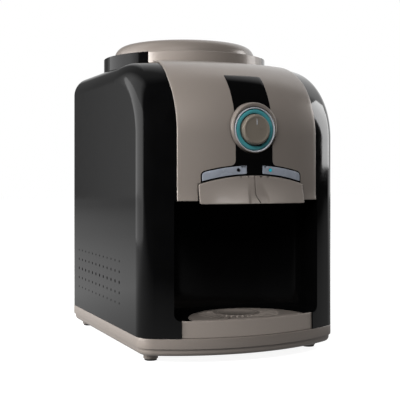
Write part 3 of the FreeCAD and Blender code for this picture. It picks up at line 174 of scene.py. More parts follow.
def add_floor():
    """Pale paper for the camera; for the object it is dim, and dark in front."""
    mesh = bpy.data.meshes.new("floor")
    near, far = -FLOOR_REACH, FLOOR_REACH
    mesh.from_pydata([(near, near, 0), (far, near, 0), (far, far, 0), (near, far, 0)], [], [(0, 1, 2, 3)])
    floor = link(bpy.data.objects.new("floor", mesh))
    paper = bpy.data.materials.new("floor_paper")
    paper.use_nodes = True
    tree = paper.node_tree
    shader = tree.nodes["Principled BSDF"]
    shader.inputs["Base Color"].default_value = PAPER_GREY
    shader.inputs["Roughness"].default_value = PAPER_ROUGH
    shader.inputs["Emission Color"].default_value = WHITE
    shader.inputs["Emission Strength"].default_value = PAPER_GLOW
    place = tree.nodes.new("ShaderNodeTexCoord")
    split = tree.nodes.new("ShaderNodeSeparateXYZ")
    scale = tree.nodes.new("ShaderNodeMath")
    scale.operation = "MULTIPLY_ADD"
    scale.inputs[1].default_value = 0.5 / FLOOR_REACH
    scale.inputs[2].default_value = 0.5
    dim = tree.nodes.new("ShaderNodeEmission")
    tree.links.new(place.outputs["Object"], split.inputs[0])
    tree.links.new(split.outputs["Y"], scale.inputs[0])
    tree.links.new(add_ramp(tree, scale.outputs[0], FLOOR_MIRRORED), dim.inputs["Color"])
    seen_directly(tree, dim.outputs[0], shader.outputs[0], tree.nodes["Material Output"].inputs[0])
    mesh.materials.append(paper)


def add_world():
    """A white backdrop for the camera; round the object is a dim studio, dark in front."""
    world = bpy.data.worlds.new("studio")
    world.use_nodes = True
    bpy.context.scene.world = world
    tree = world.node_tree
    white = tree.nodes["Background"]
    white.inputs["Color"].default_value = WHITE
    white.inputs["Strength"].default_value = 1.0
    room = tree.nodes.new("ShaderNodeBackground")
    place = tree.nodes.new("ShaderNodeTexCoord")
    split = tree.nodes.new("ShaderNodeSeparateXYZ")
    tree.links.new(place.outputs["Generated"], split.inputs[0])
    levels = []
    for axis, stops in (("X", ROOM_ACROSS), ("Y", ROOM_DEEP)):
        half = tree.nodes.new("ShaderNodeMath")
        half.operation = "MULTIPLY_ADD"
        half.inputs[1].default_value = 0.5
        half.inputs[2].default_value = 0.5
        tree.links.new(split.outputs[axis], half.inputs[0])
        levels.append(add_ramp(tree, half.outputs[0], stops))
    both = tree.nodes.new("ShaderNodeMath")
    both.operation = "MULTIPLY"
    tree.links.new(levels[0], both.inputs[0])
    tree.links.new(levels[1], both.inputs[1])
    tree.links.new(both.outputs[0], room.inputs["Color"])
    seen_directly(tree, room.outputs[0], white.outputs[0], tree.nodes["World Output"].inputs[0])


bpy.context.scene.view_settings.view_transform = "Standard"
add_camera()
add_floor()
add_world()
for setting in STUDIO_LIGHTS:
    add_light(*setting)

# -------------------------------- materials


NOISE_RANGE = (0.3, 0.7)  # where most of a noise texture's values lie


class Paint:
    """A procedural material under construction: its node tree and the shader at its end."""

    def __init__(self, name, colour, rough, metallic=0.0, coat=0.0, coat_rough=0.05, specular=0.5):
        self.material = bpy.data.materials.new(name)
        self.material.use_nodes = True
        self.tree = self.material.node_tree
        self.shader = self.tree.nodes["Principled BSDF"]
        self.put("Base Color", (*colour, 1))
        self.put("Roughness", rough)
        self.put("Metallic", metallic)
        self.put("Coat Weight", coat)
        self.put("Coat Roughness", coat_rough)
        self.put("Specular IOR Level", specular)
        self.place = self.tree.nodes.new("ShaderNodeTexCoord").outputs["Object"]

    def put(self, socket, value):
        self.shader.inputs[socket].default_value = value

    def noise(self, scale, detail=2.0, stretch=(1, 1, 1)):
        """Cloudy noise over the piece, its scale per metre; stretch draws it out into a grain."""
        mapping = self.tree.nodes.new("ShaderNodeMapping")
        mapping.inputs["Scale"].default_value = stretch
        texture = self.tree.nodes.new("ShaderNodeTexNoise")
        texture.inputs["Scale"].default_value = scale
        texture.inputs["Detail"].default_value = detail
        self.tree.links.new(self.place, mapping.inputs[0])
        self.tree.links.new(mapping.outputs[0], texture.inputs[0])
        return texture.outputs["Fac"]

    def spread(self, value, low, high):
        """Remaps a texture's middle range to run from low to high."""
        node = self.tree.nodes.new("ShaderNodeMapRange")
        node.inputs["From Min"].default_value = NOISE_RANGE[0]
        node.inputs["From Max"].default_value = NOISE_RANGE[1]
        node.inputs["To Min"].default_value = low
        node.inputs["To Max"].default_value = high
        self.tree.links.new(value, node.inputs[0])
        return node.outputs[0]

    def vary_rough(self, value, low, high):
        self.tree.links.new(self.spread(value, low, high), self.shader.inputs["Roughness"])

    def vary_colour(self, value, dark, light):
        ramp = self.tree.nodes.new("ShaderNodeValToRGB")
        for element, place, colour in zip(ramp.color_ramp.elements, NOISE_RANGE, (dark, light)):
            element.position = place
            element.color = (*colour, 1)
        self.tree.links.new(value, ramp.inputs[0])
        self.tree.links.new(ramp.outputs[0], self.shader.inputs["Base Color"])

    def bump(self, value, depth, strength=1.0):
        node = self.tree.nodes.new("ShaderNodeBump")
        node.inputs["Distance"].default_value = depth
        node.inputs["Strength"].default_value = strength
        self.tree.links.new(value, node.inputs["Height"])
        self.tree.links.new(node.outputs[0], self.shader.inputs["Normal"])


def shade(colour, factor):
    """A colour made darker or lighter."""
    return tuple(c * factor for c in colour)


def lacquer(name, colour, rough=0.34):
    """Metallic paint: fine flakes that vary in tone, under a thin clear coat."""
    paint = Paint(name, colour, rough, metallic=0.3, coat=0.35, coat_rough=0.12)
    flakes = paint.noise(9000, 1.0)
    paint.vary_colour(flakes, shade(colour, 0.90), shade(colour, 1.10))
    paint.vary_rough(paint.noise(40), rough - 0.02, rough + 0.03)
    paint.bump(paint.noise(2500, 1.0), 0.00001, 0.35)
    return paint.material


def gloss(name, colour, rough=0.07, specular=0.5):
    """Glossy moulded plastic with the faint waviness of its tool and a trace of handling."""
    paint = Paint(name, colour, rough, specular=specular)
    paint.vary_colour(paint.noise(30), shade(colour, 0.85), shade(colour, 1.15))
    paint.vary_rough(paint.noise(55, 5.0), rough * 0.8, rough * 1.35)
    paint.bump(paint.noise(35, 1.0), 0.00004, 0.25)
    return paint.material


def grained(name, colour, rough, grain=1400, depth=0.00004):
    """Textured surface: moulded plastic, rubber, powder coat or foam."""
    paint = Paint(name, colour, rough)
    paint.vary_colour(paint.noise(grain / 3), shade(colour, 0.8), shade(colour, 1.2))
    paint.vary_rough(paint.noise(90), rough - 0.06, min(rough + 0.06, 1.0))
    paint.bump(paint.noise(grain, 2.0), depth, 0.8)
    return paint.material


def brushed(name, colour, rough=0.28):
    """Bare metal with drawn or ground upright lines."""
    paint = Paint(name, colour, rough, metallic=1.0)
    lines = paint.noise(1500, 3.0, stretch=(1, 1, 0.03))
    paint.vary_colour(lines, shade(colour, 0.86), shade(colour, 1.12))
    paint.vary_rough(lines, rough - 0.05, rough + 0.08)
    paint.bump(lines, 0.00001, 0.5)
    return paint.material


CHAMPAGNE = (0.205, 0.178, 0.158)
BLACK = (0.0016, 0.0016, 0.0017)

PAINTS = {
    "champagne": lacquer("champagne", CHAMPAGNE),
    "knob_cap": lacquer("knob_cap", (0.19, 0.165, 0.135), 0.42),
    "black_gloss": gloss("black_gloss", BLACK),
    "recess_black": gloss("recess_black", BLACK, 0.12, 0.18),
    "dial_black": grained("dial_black", (0.008, 0.008, 0.009), 0.45, 2500, 0.00001),
    "teal_ring": gloss("teal_ring", (0.045, 0.20, 0.22), 0.18),
    "silver_trim": lacquer("silver_trim", (0.52, 0.54, 0.58), 0.22),
    "label_plate": gloss("label_plate", (0.23, 0.25, 0.29), 0.25),
    "lens_dark": gloss("lens_dark", (0.004, 0.004, 0.006), 0.1),
    "lens_cyan": gloss("lens_cyan", (0.02, 0.42, 0.52), 0.15),
    "pad_rubber": grained("pad_rubber", (0.025, 0.025, 0.025), 0.75),
    "steel_pin": brushed("steel_pin", (0.52, 0.52, 0.52)),
    "screw_steel": brushed("screw_steel", (0.42, 0.42, 0.43), 0.33),
    "rear_sheet": grained("rear_sheet", (0.022, 0.022, 0.023), 0.5, 1800),
    "condenser_black": grained("condenser_black", (0.01, 0.01, 0.01), 0.35, 2200, 0.00002),
    "compressor_black": grained("compressor_black", (0.012, 0.012, 0.013), 0.4, 900),
    "tap_white": grained("tap_white", (0.62, 0.62, 0.60), 0.45, 1200, 0.00001),
    "tank_steel": brushed("tank_steel", (0.56, 0.56, 0.56)),
    "foam": grained("foam", (0.78, 0.77, 0.72), 0.95, 700, 0.0003),
    "copper": brushed("copper", (0.62, 0.29, 0.16), 0.3),
    "silicone": grained("silicone", (0.7, 0.72, 0.72), 0.3, 500, 0.00001),
    "black_plastic": grained("black_plastic", (0.015, 0.015, 0.016), 0.55, 1600),
    "board": grained("board", (0.012, 0.09, 0.035), 0.5, 600, 0.00001),
}


def paint_nodes():
    """Gives every CAD node the material of its slot in the record; the recess has a duller black."""
    for part in frame["record"]["subparts"]:
        mesh = NODES[part["node"]].data
        mesh.materials.clear()
        in_recess = part["node"] in ("recess_liner", "recess_floor")
        mesh.materials.append(PAINTS["recess_black" if in_recess else part["material_slot"]])


paint_nodes()

# -------------------------------- mesh building

EDGE_STEPS = 4  # facets across a rounded edge
WELD = 0.000002  # metres within which points are one
ON_AXIS = 0.001  # a radius in millimetres that the weld closes
SHARPEST = 0.35  # keeps the direction at a sharp corner from running off
CLEAR = 0.45  # share of a step that inner points keep off an outline


def corner(node, side):
    """A corner of a CAD node's box in millimetres: 0 for the lowest, 1 for the highest."""
    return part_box(node)[side] / MM


def finish_mesh(name, points, faces, slot, body, replaced=(), sharp=38.0):
    """Makes a piece from points in millimetres: joins what touches, shades it smooth, keeps sharp edges."""
    mesh = bpy.data.meshes.new(name)
    mesh.from_pydata([[c * MM for c in point] for point in points], [], faces)
    shape = bmesh.new()
    shape.from_mesh(mesh)
    bmesh.ops.remove_doubles(shape, verts=shape.verts, dist=WELD)
    bmesh.ops.dissolve_degenerate(shape, edges=shape.edges, dist=WELD)
    bmesh.ops.recalc_face_normals(shape, faces=shape.faces)
    for face in shape.faces:
        face.smooth = True
    for edge in shape.edges:
        edge.smooth = not edge.is_manifold or edge.calc_face_angle(0) < math.radians(sharp)
    shape.to_mesh(mesh)
    shape.free()
    piece = link(bpy.data.objects.new(name, mesh))
    mesh.materials.append(PAINTS[slot])
    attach(piece, body)
    if replaced:
        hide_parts(*replaced)
    return piece


def loop_normals(loop):
    """For each corner of a closed outline, the way into the material, a unit away from both its sides."""
    loop = np.array(loop, float)
    ahead = np.roll(loop, -1, 0) - loop
    ahead /= np.linalg.norm(ahead, axis=1)[:, None]
    left = np.stack([-ahead[:, 1], ahead[:, 0]], 1)
    before = np.roll(left, 1, 0)
    total = left + before
    return total / np.maximum(1 + (left * before).sum(1), SHARPEST)[:, None]


def resample(loop, step):
    """An outline with points no further apart than step; its own corners stay."""
    result = []
    for i, (u, v) in enumerate(loop):
        u_next, v_next = loop[(i + 1) % len(loop)]
        length = math.hypot(u_next - u, v_next - v)
        count = max(1, math.ceil(length / step))
        result += [(u + (u_next - u) * k / count, v + (v_next - v) * k / count) for k in range(count)]
    return result


def signed_area(loop):
    """An outline's area, negative where it runs clockwise."""
    return sum(a[0] * b[1] - b[0] * a[1] for a, b in zip(loop, loop[1:] + loop[:1])) / 2


def sheet_shape(surface, outline, holes=(), thick=2.0, edge=0.6, step=4.0, boundary_step=2.0):
    """Points and faces of a shell on a surface, with rounded edges along its outline and holes.

    surface(u, v, out) gives a point in space; outline and holes are closed loops in (u, v).
    """
    loops = []
    for loop, turn in [(outline, 1)] + [(hole, -1) for hole in holes]:
        loop = resample(list(loop), boundary_step)
        if signed_area(loop) * turn < 0:
            loop = loop[::-1]
        loops.append(np.array(loop))
    levels = []
    for i in range(EDGE_STEPS + 1):
        turn = math.pi / 2 * i / EDGE_STEPS
        levels.append((edge * (1 - math.sin(turn)), -edge * (1 - math.cos(turn))))
    levels.append((0.0, -thick))
    points = []
    faces = []
    rings = []
    for loop in loops:
        inward = loop_normals(loop)
        ring_starts = []
        for inset, out in levels:
            ring_starts.append(len(points))
            points += [surface(u, v, out) for u, v in loop + inward * inset]
        count = len(loop)
        for low, high in zip(ring_starts, ring_starts[1:]):
            for i in range(count):
                j = (i + 1) % count
                faces.append((low + i, low + j, high + j, high + i))
        rings.append((ring_starts, loop, inward))
    for side, (inset, out) in ((0, levels[0]), (-1, levels[-1])):
        flat_points = []
        indices = []
        chains = []
        for ring_starts, loop, inward in rings:
            first = len(flat_points)
            count = len(loop)
            flat_points += [tuple(p) for p in loop + inward * inset]
            indices += [ring_starts[side] + i for i in range(count)]
            chains += [(first + i, first + (i + 1) % count) for i in range(count)]
        inner = inner_points(np.array(flat_points), chains, step)
        for u, v in inner:
            indices.append(len(points))
            points.append(surface(u, v, out))
        flat_points += [tuple(p) for p in inner]
        found = delaunay_2d_cdt([Vector(p) for p in flat_points], chains, [], 0, 1e-7)
        triangles = [[found[3][i][0] for i in face] for face in found[2]]
        flat = np.array(flat_points)
        kept = within(flat[np.array(triangles)].mean(1), *chain_ends(flat, chains))
        faces += [tuple(indices[i] for i in triangle) for triangle, keep in zip(triangles, kept) if keep]
    return points, faces


def chain_ends(points, chains):
    """The start and end points of the edges in a list of index pairs."""
    return points[[a for a, b in chains]], points[[b for a, b in chains]]


def within(spots, start, end):
    """Which spots lie inside the closed loops made of edges from start to end, holes left out."""
    inside = np.zeros(len(spots), bool)
    for a, b in zip(start, end):
        rise = b[1] - a[1]
        if abs(rise) > 1e-12:
            crosses = (a[1] > spots[:, 1]) != (b[1] > spots[:, 1])
            inside ^= crosses & (spots[:, 0] < a[0] + (spots[:, 1] - a[1]) / rise * (b[0] - a[0]))
    return inside


def inner_points(boundary, chains, step):
    """Grid points inside the outline, kept nearly half a step clear of it."""
    low = boundary.min(0)
    high = boundary.max(0)
    grid_u, grid_v = np.meshgrid(np.arange(low[0] + step / 2, high[0], step),
                                 np.arange(low[1] + step / 2, high[1], step))
    spots = np.stack([grid_u.ravel(), grid_v.ravel()], 1)
    start, end = chain_ends(boundary, chains)
    near = np.full(len(spots), 1e9)
    for a, b in zip(start, end):
        run = b - a
        along = np.clip(((spots - a) @ run) / max(run @ run, 1e-12), 0, 1)
        near = np.minimum(near, np.linalg.norm(spots - (a + along[:, None] * run), axis=1))
    return spots[within(spots, start, end) & (near > step * CLEAR)]


def rounded(points, radii, steps=5):
    """A closed outline whose corners are rounded, each by its own radius; 0 leaves a corner sharp."""
    result = []
    count = len(points)
    for i, radius in enumerate(radii):
        tip = Vector(points[i])
        to_last = (Vector(points[i - 1]) - tip).normalized()
        to_next = (Vector(points[(i + 1) % count]) - tip).normalized()
        opening = to_last.angle(to_next)
        if radius <= 0 or opening > math.pi - 0.01:
            result.append(tuple(tip))
            continue
        reach = radius / math.tan(opening / 2)
        centre = tip + (to_last + to_next).normalized() * (radius / math.sin(opening / 2))
        start = tip + to_last * reach - centre
        end = tip + to_next * reach - centre
        turn = start.angle(end)
        for k in range(steps + 1):
            share = k / steps
            spot = (start * math.sin((1 - share) * turn) + end * math.sin(share * turn)) / math.sin(turn)
            result.append(tuple(centre + spot))
    return result


def arc(radius, centre, start, end, steps):
    """Points along an arc, its angles in degrees."""
    angles = [math.radians(start + (end - start) * k / steps) for k in range(steps + 1)]
    return [(centre[0] + radius * math.cos(a), centre[1] + radius * math.sin(a)) for a in angles]


def lathe_shape(profile, centre, along="Z", count=160, start=0.0, end=360.0, ridge=None):
    """Points and faces of a turned shape: a closed outline of (radius, height) about an axis.

    ridge(angle, radius, height) may move a radius; a part turn is closed with flat ends.
    """
    whole = end - start > 359.9
    turns = count if whole else count + 1
    size = len(profile)
    points = []
    for i in range(turns):
        angle = math.radians(start + (end - start) * i / count)
        for radius, height in profile:
            if ridge:
                radius = ridge(angle, radius, height)
            across, up = radius * math.cos(angle), radius * math.sin(angle)
            if along == "Z":
                points.append((centre[0] + across, centre[1] + up, centre[2] + height))
            else:
                points.append((centre[0] + across, centre[1] + height, centre[2] + up))
    faces = []
    for i in range(count):
        j = (i + 1) % turns
        for k in range(size):
            m = (k + 1) % size
            faces.append((i * size + k, j * size + k, j * size + m, i * size + m))
    if not whole:
        faces.append(tuple(range(size)))
        faces.append(tuple((turns - 1) * size + k for k in range(size)))
    return points, faces


def grid_shape(rows):
    """Points and faces over rows of points that all have one length, each row closed to a ring."""
    size = len(rows[0])
    points = [point for row in rows for point in row]
    faces = []
    for i in range(len(rows) - 1):
        for k in range(size):
            m = (k + 1) % size
            faces.append((i * size + k, i * size + m, (i + 1) * size + m, (i + 1) * size + k))
    return points, faces


def joined(*shapes):
    """The points and faces of several shapes as one."""
    points = []
    faces = []
    for new_points, new_faces in shapes:
        first = len(points)
        points += list(new_points)
        faces += [tuple(first + i for i in face) for face in new_faces]
    return points, faces


def offset(loop, inset):
    """An outline moved into its own area by a distance."""
    return [tuple(p) for p in np.array(loop) + loop_normals(loop) * inset]


def wall_shape(outline, levels):
    """Points and faces of a solid that follows an outline in plan: levels are (inset, height) pairs."""
    outline = list(outline)
    if signed_area(outline) < 0:
        outline = outline[::-1]
    rows = [[(x, y, height) for x, y in offset(outline, inset)] for inset, height in levels]
    points, faces = grid_shape(rows)
    count = len(outline)
    last = len(points) - count
    faces.append(tuple(range(count))[::-1])
    faces.append(tuple(last + i for i in range(count)))
    return points, faces


def round_edge(inset, height, radius, rising):
    """(inset, height) pairs round a convex edge of a flat face; rising above 0 goes up to the face."""
    pairs = []
    for i in range(EDGE_STEPS + 1):
        turn = math.pi / 2 * i / EDGE_STEPS
        across = inset + radius * (1 - math.sin(turn))
        drop = radius * (1 - math.cos(turn))
        pairs.append((across, height - drop if rising > 0 else height + drop))
    return pairs if rising < 0 else pairs[::-1]


def slab_levels(low, high, edge):
    """Levels of a plate between two heights with both its edges rounded."""
    return round_edge(0, low, edge, -1) + round_edge(0, high, edge, 1)


def block_shape(low, high, edge=0.6, corner_radius=1.0):
    """A moulded block between two corners, rounded all over."""
    outline = rounded([(low[0], low[1]), (high[0], low[1]), (high[0], high[1]), (low[0], high[1])],
                      [corner_radius] * 4)
    return wall_shape(outline, slab_levels(low[2], high[2], edge))


def ease(value):
    """A smooth step: 0 up to 0, 1 from 1 on."""
    value = min(max(value, 0.0), 1.0)
    return value * value * (3 - 2 * value)


# -------------------------------- front panel

PANEL_ARC = 320.0
PANEL_FRONT = -190.3
PANEL_CENTRE = PANEL_FRONT + PANEL_ARC
PANEL_ROLL = 108.0
PANEL_TOP = 404.5
ROLL_START = PANEL_TOP - PANEL_ROLL
ROLL_END = ROLL_START + PANEL_ROLL * math.pi / 2
FLARE_TOP = 226.0  # where the panel's foot starts to lean out
FLARE = 1.3


def panel_radius(rise, out=0.0):
    """Radius about the panel's upright axis, and height, at a distance up along its front."""
    if rise <= ROLL_START:
        lean = max(0.0, (FLARE_TOP - rise) / (FLARE_TOP - PANEL_FOOT)) ** 2 * FLARE
        return PANEL_ARC + out + lean, rise
    if rise < ROLL_END:
        turn = (rise - ROLL_START) / PANEL_ROLL
        arm = PANEL_ROLL + out
        return PANEL_ARC - PANEL_ROLL + arm * math.cos(turn), ROLL_START + arm * math.sin(turn)
    return PANEL_ARC - PANEL_ROLL - (rise - ROLL_END), PANEL_TOP + out


def panel_point(x, rise, out=0.0):
    """A point off the panel's face, from its X and its distance up along the front."""
    base, _ = panel_radius(rise)
    radius, height = panel_radius(rise, out)
    turn = math.asin(max(-0.99, min(0.99, x / base)))
    return (radius * math.sin(turn), PANEL_CENTRE - radius * math.cos(turn), height)


def rise_at(height):
    """The distance up along the front at which the panel has a height."""
    if height <= ROLL_START:
        return height
    return ROLL_START + PANEL_ROLL * math.asin((height - ROLL_START) / PANEL_ROLL)


PANEL_FOOT = corner("front_panel", 0).z
PANEL_HALF = corner("front_panel", 1).x
KNOB_Z = (corner("thermostat_knob", 0).z + corner("thermostat_knob", 1).z) / 2
BOSS_Z = KNOB_Z + 2.3
BOSS_HOLE = 34.3
SHOULDER_Y = -141.0  # where the panel's sides start to taper in beside the ring
RING_Y = 52.4
RING_RADIUS = 125.1
RING_WALL = 2.5
RING_DEPTH = 24  # how far the ring's wall reaches down
RING_END = 91.0  # half width of the ring's front stretch
RING_TURN = math.degrees(math.asin(RING_END / RING_RADIUS))  # half angle of that stretch
RING_BACK_Y = RING_Y - math.sqrt(RING_RADIUS ** 2 - RING_END ** 2)
OVERLAY_LIFT = 0.35  # how far the black overlay's face stands off the panel
LABEL_LIFT = 0.75
LABEL_ARC = 263.6
LABEL_TOP = 244.3
LABEL_HEIGHT = 14.4
LABEL_HALF = 73.3
LEVER_HALF = 76.0
WINDOW_GAP = 0.5  # between a lever and the side of its window
CORNER_GAP = 3  # what the points along a side keep off the ring's corner
SIDE_STEP = 4.0
SETTLING = 6  # rounds in which the panel's half width settles
ARCH_STEPS = 40  # divisions of an arch across the panel


def label_arc(radius, near, far, steps):
    """Points from one X to another on the arc under the label band, grown to a radius."""
    return [(near + (far - near) * k / steps,
             LABEL_TOP - LABEL_ARC + math.sqrt(radius ** 2 - (near + (far - near) * k / steps) ** 2))
            for k in range(steps + 1)]


def panel_side(rise):
    """Half the panel's width at a distance up along it."""
    half = PANEL_HALF
    for _ in range(SETTLING):
        y = panel_point(half, rise)[1]
        share = min(max((y - SHOULDER_Y) / (RING_BACK_Y - SHOULDER_Y), 0.0), 1.0)
        half = PANEL_HALF + (RING_END - PANEL_HALF) * share
    return half


def panel_outline():
    """The panel's outline: foot with the levers' window, sides, and its end at the ring."""
    window = LEVER_HALF + WINDOW_GAP
    outline = [(-PANEL_HALF, PANEL_FOOT), (-window, PANEL_FOOT)]
    outline += label_arc(LABEL_ARC, -window, window, ARCH_STEPS)
    outline += [(window, PANEL_FOOT), (PANEL_HALF, PANEL_FOOT)]
    ring_end = []
    for k in range(ARCH_STEPS + 1):
        x = RING_END * (1 - 2 * k / ARCH_STEPS)
        y = RING_Y - math.sqrt(RING_RADIUS ** 2 - x * x)
        ring_end.append((x, ROLL_END + PANEL_ARC - PANEL_ROLL - math.hypot(x, PANEL_CENTRE - y)))
    rises = np.arange(ROLL_START, ring_end[0][1] - CORNER_GAP, SIDE_STEP)
    right = [(panel_side(rise), rise) for rise in rises]
    left = [(-half, rise) for half, rise in right[::-1]]
    return outline + right + ring_end + left


def knob_loop(radius, count=96):
    """The round hole for the knob's boss, laid out on the panel's surface."""
    loop = []
    for k in range(count):
        angle = 2 * math.pi * k / count
        loop.append((radius * math.cos(angle), rise_at(BOSS_Z + radius * math.sin(angle))))
    return loop


def ring_profile():
    """Section of the bottle ring's wall, from the casing's top up to its rounded rim."""
    top = corner("front_panel", 1).z
    outer = RING_RADIUS
    inner = outer - RING_WALL
    foot = top - RING_DEPTH
    return rounded([(inner, foot), (outer, foot), (outer, top), (inner, top)], [0, 0, 0.9, 0.6])


def make_front_panel():
    """The champagne skin and the front stretch of the bottle ring."""
    skin = sheet_shape(panel_point, panel_outline(), [knob_loop(BOSS_HOLE)], thick=2.4, edge=1.1)
    ring = lathe_shape(ring_profile(), (0, RING_Y, 0), count=72, start=270 - RING_TURN, end=270 + RING_TURN)
    finish_mesh("front_panel_skin", *joined(skin, ring), "champagne", "cabinet", ["front_panel"])


def boss_arc(radius, start, end, steps=24):
    """Part of the circle round the knob's boss, laid out on the panel's surface; angles in degrees."""
    return [(x, rise_at(height)) for x, height in arc(radius, (0, BOSS_Z), start, end, steps)]


def overlay_point(x, rise, out):
    """A point off the black overlay's face."""
    return panel_point(x, rise, out + OVERLAY_LIFT)


def make_display_strip():
    """The black overlay: a strip above the knob, and below it a foot that widens into the arched band."""
    half = 27.0
    strip_top = 378.0
    flare = 7.0
    end_round, end_sharp = 6.5, 0.3
    cut_radius = BOSS_HOLE - 0.3
    meets = math.degrees(math.acos(half / cut_radius))
    top = rise_at(strip_top)
    under = boss_arc(cut_radius, 180 - meets, meets)
    upper = rounded(under + [(half, top), (-half, top)], [0] * len(under) + [5.0, 0.8])
    over = LABEL_ARC + LABEL_HEIGHT
    end_low = label_arc(LABEL_ARC, LABEL_HALF, LABEL_HALF, 1)[0][1]
    end_high = label_arc(over, LABEL_HALF, LABEL_HALF, 1)[0][1]
    foot = label_arc(over, half, half, 1)[0][1]
    right = label_arc(over, LABEL_HALF - 9, half + flare + 3, 10)
    left = [(-x, height) for x, height in right[::-1]]
    above = boss_arc(cut_radius, -meets, meets - 180)
    base = label_arc(LABEL_ARC, -LABEL_HALF + 2, LABEL_HALF - 2, ARCH_STEPS)
    corners = [(LABEL_HALF, end_low), (LABEL_HALF, end_high), *right, (half, foot), *above, (-half, foot),
               *left, (-LABEL_HALF, end_high), (-LABEL_HALF, end_low), *base]
    radii = [end_sharp, end_round, *[0] * len(right), flare, *[0] * len(above), flare,
             *[0] * len(left), end_round, end_sharp, *[0] * len(base)]
    lower = rounded(corners, radii)
    shapes = [sheet_shape(overlay_point, loop, thick=0.8, edge=0.25, step=3.0) for loop in (upper, lower)]
    finish_mesh("display_overlay", *joined(*shapes), "black_gloss", "cabinet", ["display_strip"])


def make_label_plates():
    """A label plate on each side, each with a hole for its lamp."""
    near, far = 11.6, 71.5
    steps = 20
    square, end_round = 0.8, 5.0
    low = LABEL_ARC + 1.9
    high = LABEL_ARC + LABEL_HEIGHT - 1.8
    tip = label_arc(high, far, far, 1)[0]
    lower = label_arc(low, near, far, steps)
    upper = label_arc(high, far - 7, near, steps)
    lens = arc(2.3, (23.2, 251.0), 0, 345, 23)

    def surface(x, rise, out):
        return panel_point(x, rise, out + LABEL_LIFT)

    for side, sign in (("left", -1), ("right", 1)):
        corners = [(x * sign, height) for x, height in [*lower, tip, *upper]]
        loop = rounded(corners, [square, *[0] * (steps - 1), square, end_round, *[0] * steps, square])
        hole = [(x * sign, height) for x, height in lens]
        shape = sheet_shape(surface, loop, [hole], thick=0.8, edge=0.35, step=3.0, boundary_step=1.0)
        finish_mesh(f"label_{side}", *shape, "label_plate", "cabinet", [f"label_plate_{side}"])


# -------------------------------- push levers

LEVER_FOOT = corner("lever_left", 0).z
LEVER_TOP = LABEL_TOP + 1.0
VEER = 7.0  # how far the split runs to the right at its foot
VEER_START = 14.0  # above the foot, where the split starts to veer
VEER_RUN = 16.0
STANDOFF = 0.5  # of the levers' top from the panel
LEAN = 7.0  # how much further out their foot stands
SPLIT_GAP = 0.4  # half the gap between the levers
LEVER_THICK = 2.8
# what stands behind each lever: inner side, outer side, low and high; two hinge lugs and the pusher
LEVER_BLOCKS = ((14, 18, 229.5, 235.5), (62, 66, 229.5, 235.5), (33, 43, 220, 224))
BLOCK_START = -2.0  # the blocks begin inside the lever's plate


def lever_lean(height):
    """How far a lever stands off the panel: it leans out more and more towards its foot."""
    return STANDOFF + LEAN * max(0.0, (LEVER_TOP - height) / (LEVER_TOP - LEVER_FOOT)) ** 1.5


def split_x(height):
    """Where the split between the levers runs: straight down, then off to the right at the foot."""
    return VEER * ease((LEVER_FOOT + VEER_START - height) / VEER_RUN)


def scoop_depth(x, height):
    """The hollow on both sides of the split, deeper and wider towards the foot."""
    deepest = 1.7
    edge = 3.5  # how far its sides take to slope down
    down = ease((LEVER_FOOT + 30 - height) / 28)
    left = -11.0
    right = 12.0 + 8.0 * down
    return deepest * down * ease((x - left) / edge) * ease((right - x) / edge)


def lever_point(x, height, out):
    """A point off a lever's face, which is round about the panel's own upright axis."""
    lift = lever_lean(height) - scoop_depth(x, height) + out
    radius = PANEL_ARC + lift
    return (x, PANEL_CENTRE - math.sqrt(radius * radius - x * x), height)


def make_levers():
    """Two champagne plates side by side, each with its lugs and pusher."""
    for side, sign in (("left", -1), ("right", 1)):
        outer = LEVER_HALF * sign
        top = label_arc(LABEL_ARC - 0.5, outer, sign * SPLIT_GAP, 30)
        inner = [(split_x(height) + sign * SPLIT_GAP, height)
                 for height in np.linspace(top[-1][1] - 2, LEVER_FOOT + 2.2, 24)]
        near_foot = split_x(LEVER_FOOT) + sign * SPLIT_GAP
        foot = [(near_foot, LEVER_FOOT), (outer, LEVER_FOOT)]
        outline = top + inner + foot
        radii = [2.0] + [0] * (len(outline) - 2) + [2.5]
        plate = sheet_shape(lever_point, rounded(outline, radii), thick=LEVER_THICK, edge=0.7, step=2.0)
        back = corner(f"lever_{side}", 1).y
        blocks = []
        for near, far, low, high in LEVER_BLOCKS:
            start = lever_point(far, high, BLOCK_START)[1]
            left, right = sorted((near * sign, far * sign))
            blocks.append(block_shape((left, start, low), (right, back, high)))
        finish_mesh(f"lever_shell_{side}", *joined(plate, *blocks), "champagne",
                    f"lever_{side}", [f"lever_{side}"], sharp=50)


def make_tap_springs():
    """The coil behind each plunger, at its full length: nothing here shortens it with the plunger's travel.
    """
    wire = 0.45  # the wire's radius
    turns = 5
    steps = turns * 24
    facets = 10
    for side in ("left", "right"):
        node = f"tap_spring_{side}"
        low, high = corner(node, 0), corner(node, 1)
        middle_x, middle_z = (low.x + high.x) / 2, (low.z + high.z) / 2
        radius = (high.x - low.x) / 2 - wire
        rows = []
        for k in range(steps + 1):
            turn = 2 * math.pi * turns * k / steps
            along = low.y + wire + (high.y - low.y - 2 * wire) * k / steps
            rows.append([])
            for angle in np.linspace(0, 2 * math.pi, facets, endpoint=False):
                reach = radius + wire * math.cos(angle)
                rows[-1].append((middle_x + reach * math.cos(turn), along + wire * math.sin(angle),
                                 middle_z + reach * math.sin(turn)))
        points, faces = grid_shape(rows)
        faces.append(tuple(range(facets))[::-1])
        faces.append(tuple(len(points) - facets + i for i in range(facets)))
        coil = finish_mesh(f"tap_coil_{side}", points, faces, "steel_pin", "cabinet", [node])
        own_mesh(coil)


# -------------------------------- thermostat knob

RIDGES = 72
RIDGE_DEPTH = 0.45
RIDGE_INSIDE = 18.0  # the radius inside which there are no ridges
RIDGE_FADE = 1.2
KNOB_RADIUS = corner("thermostat_knob", 1).x
DIAL_Y = corner("dial_plate", 0).y
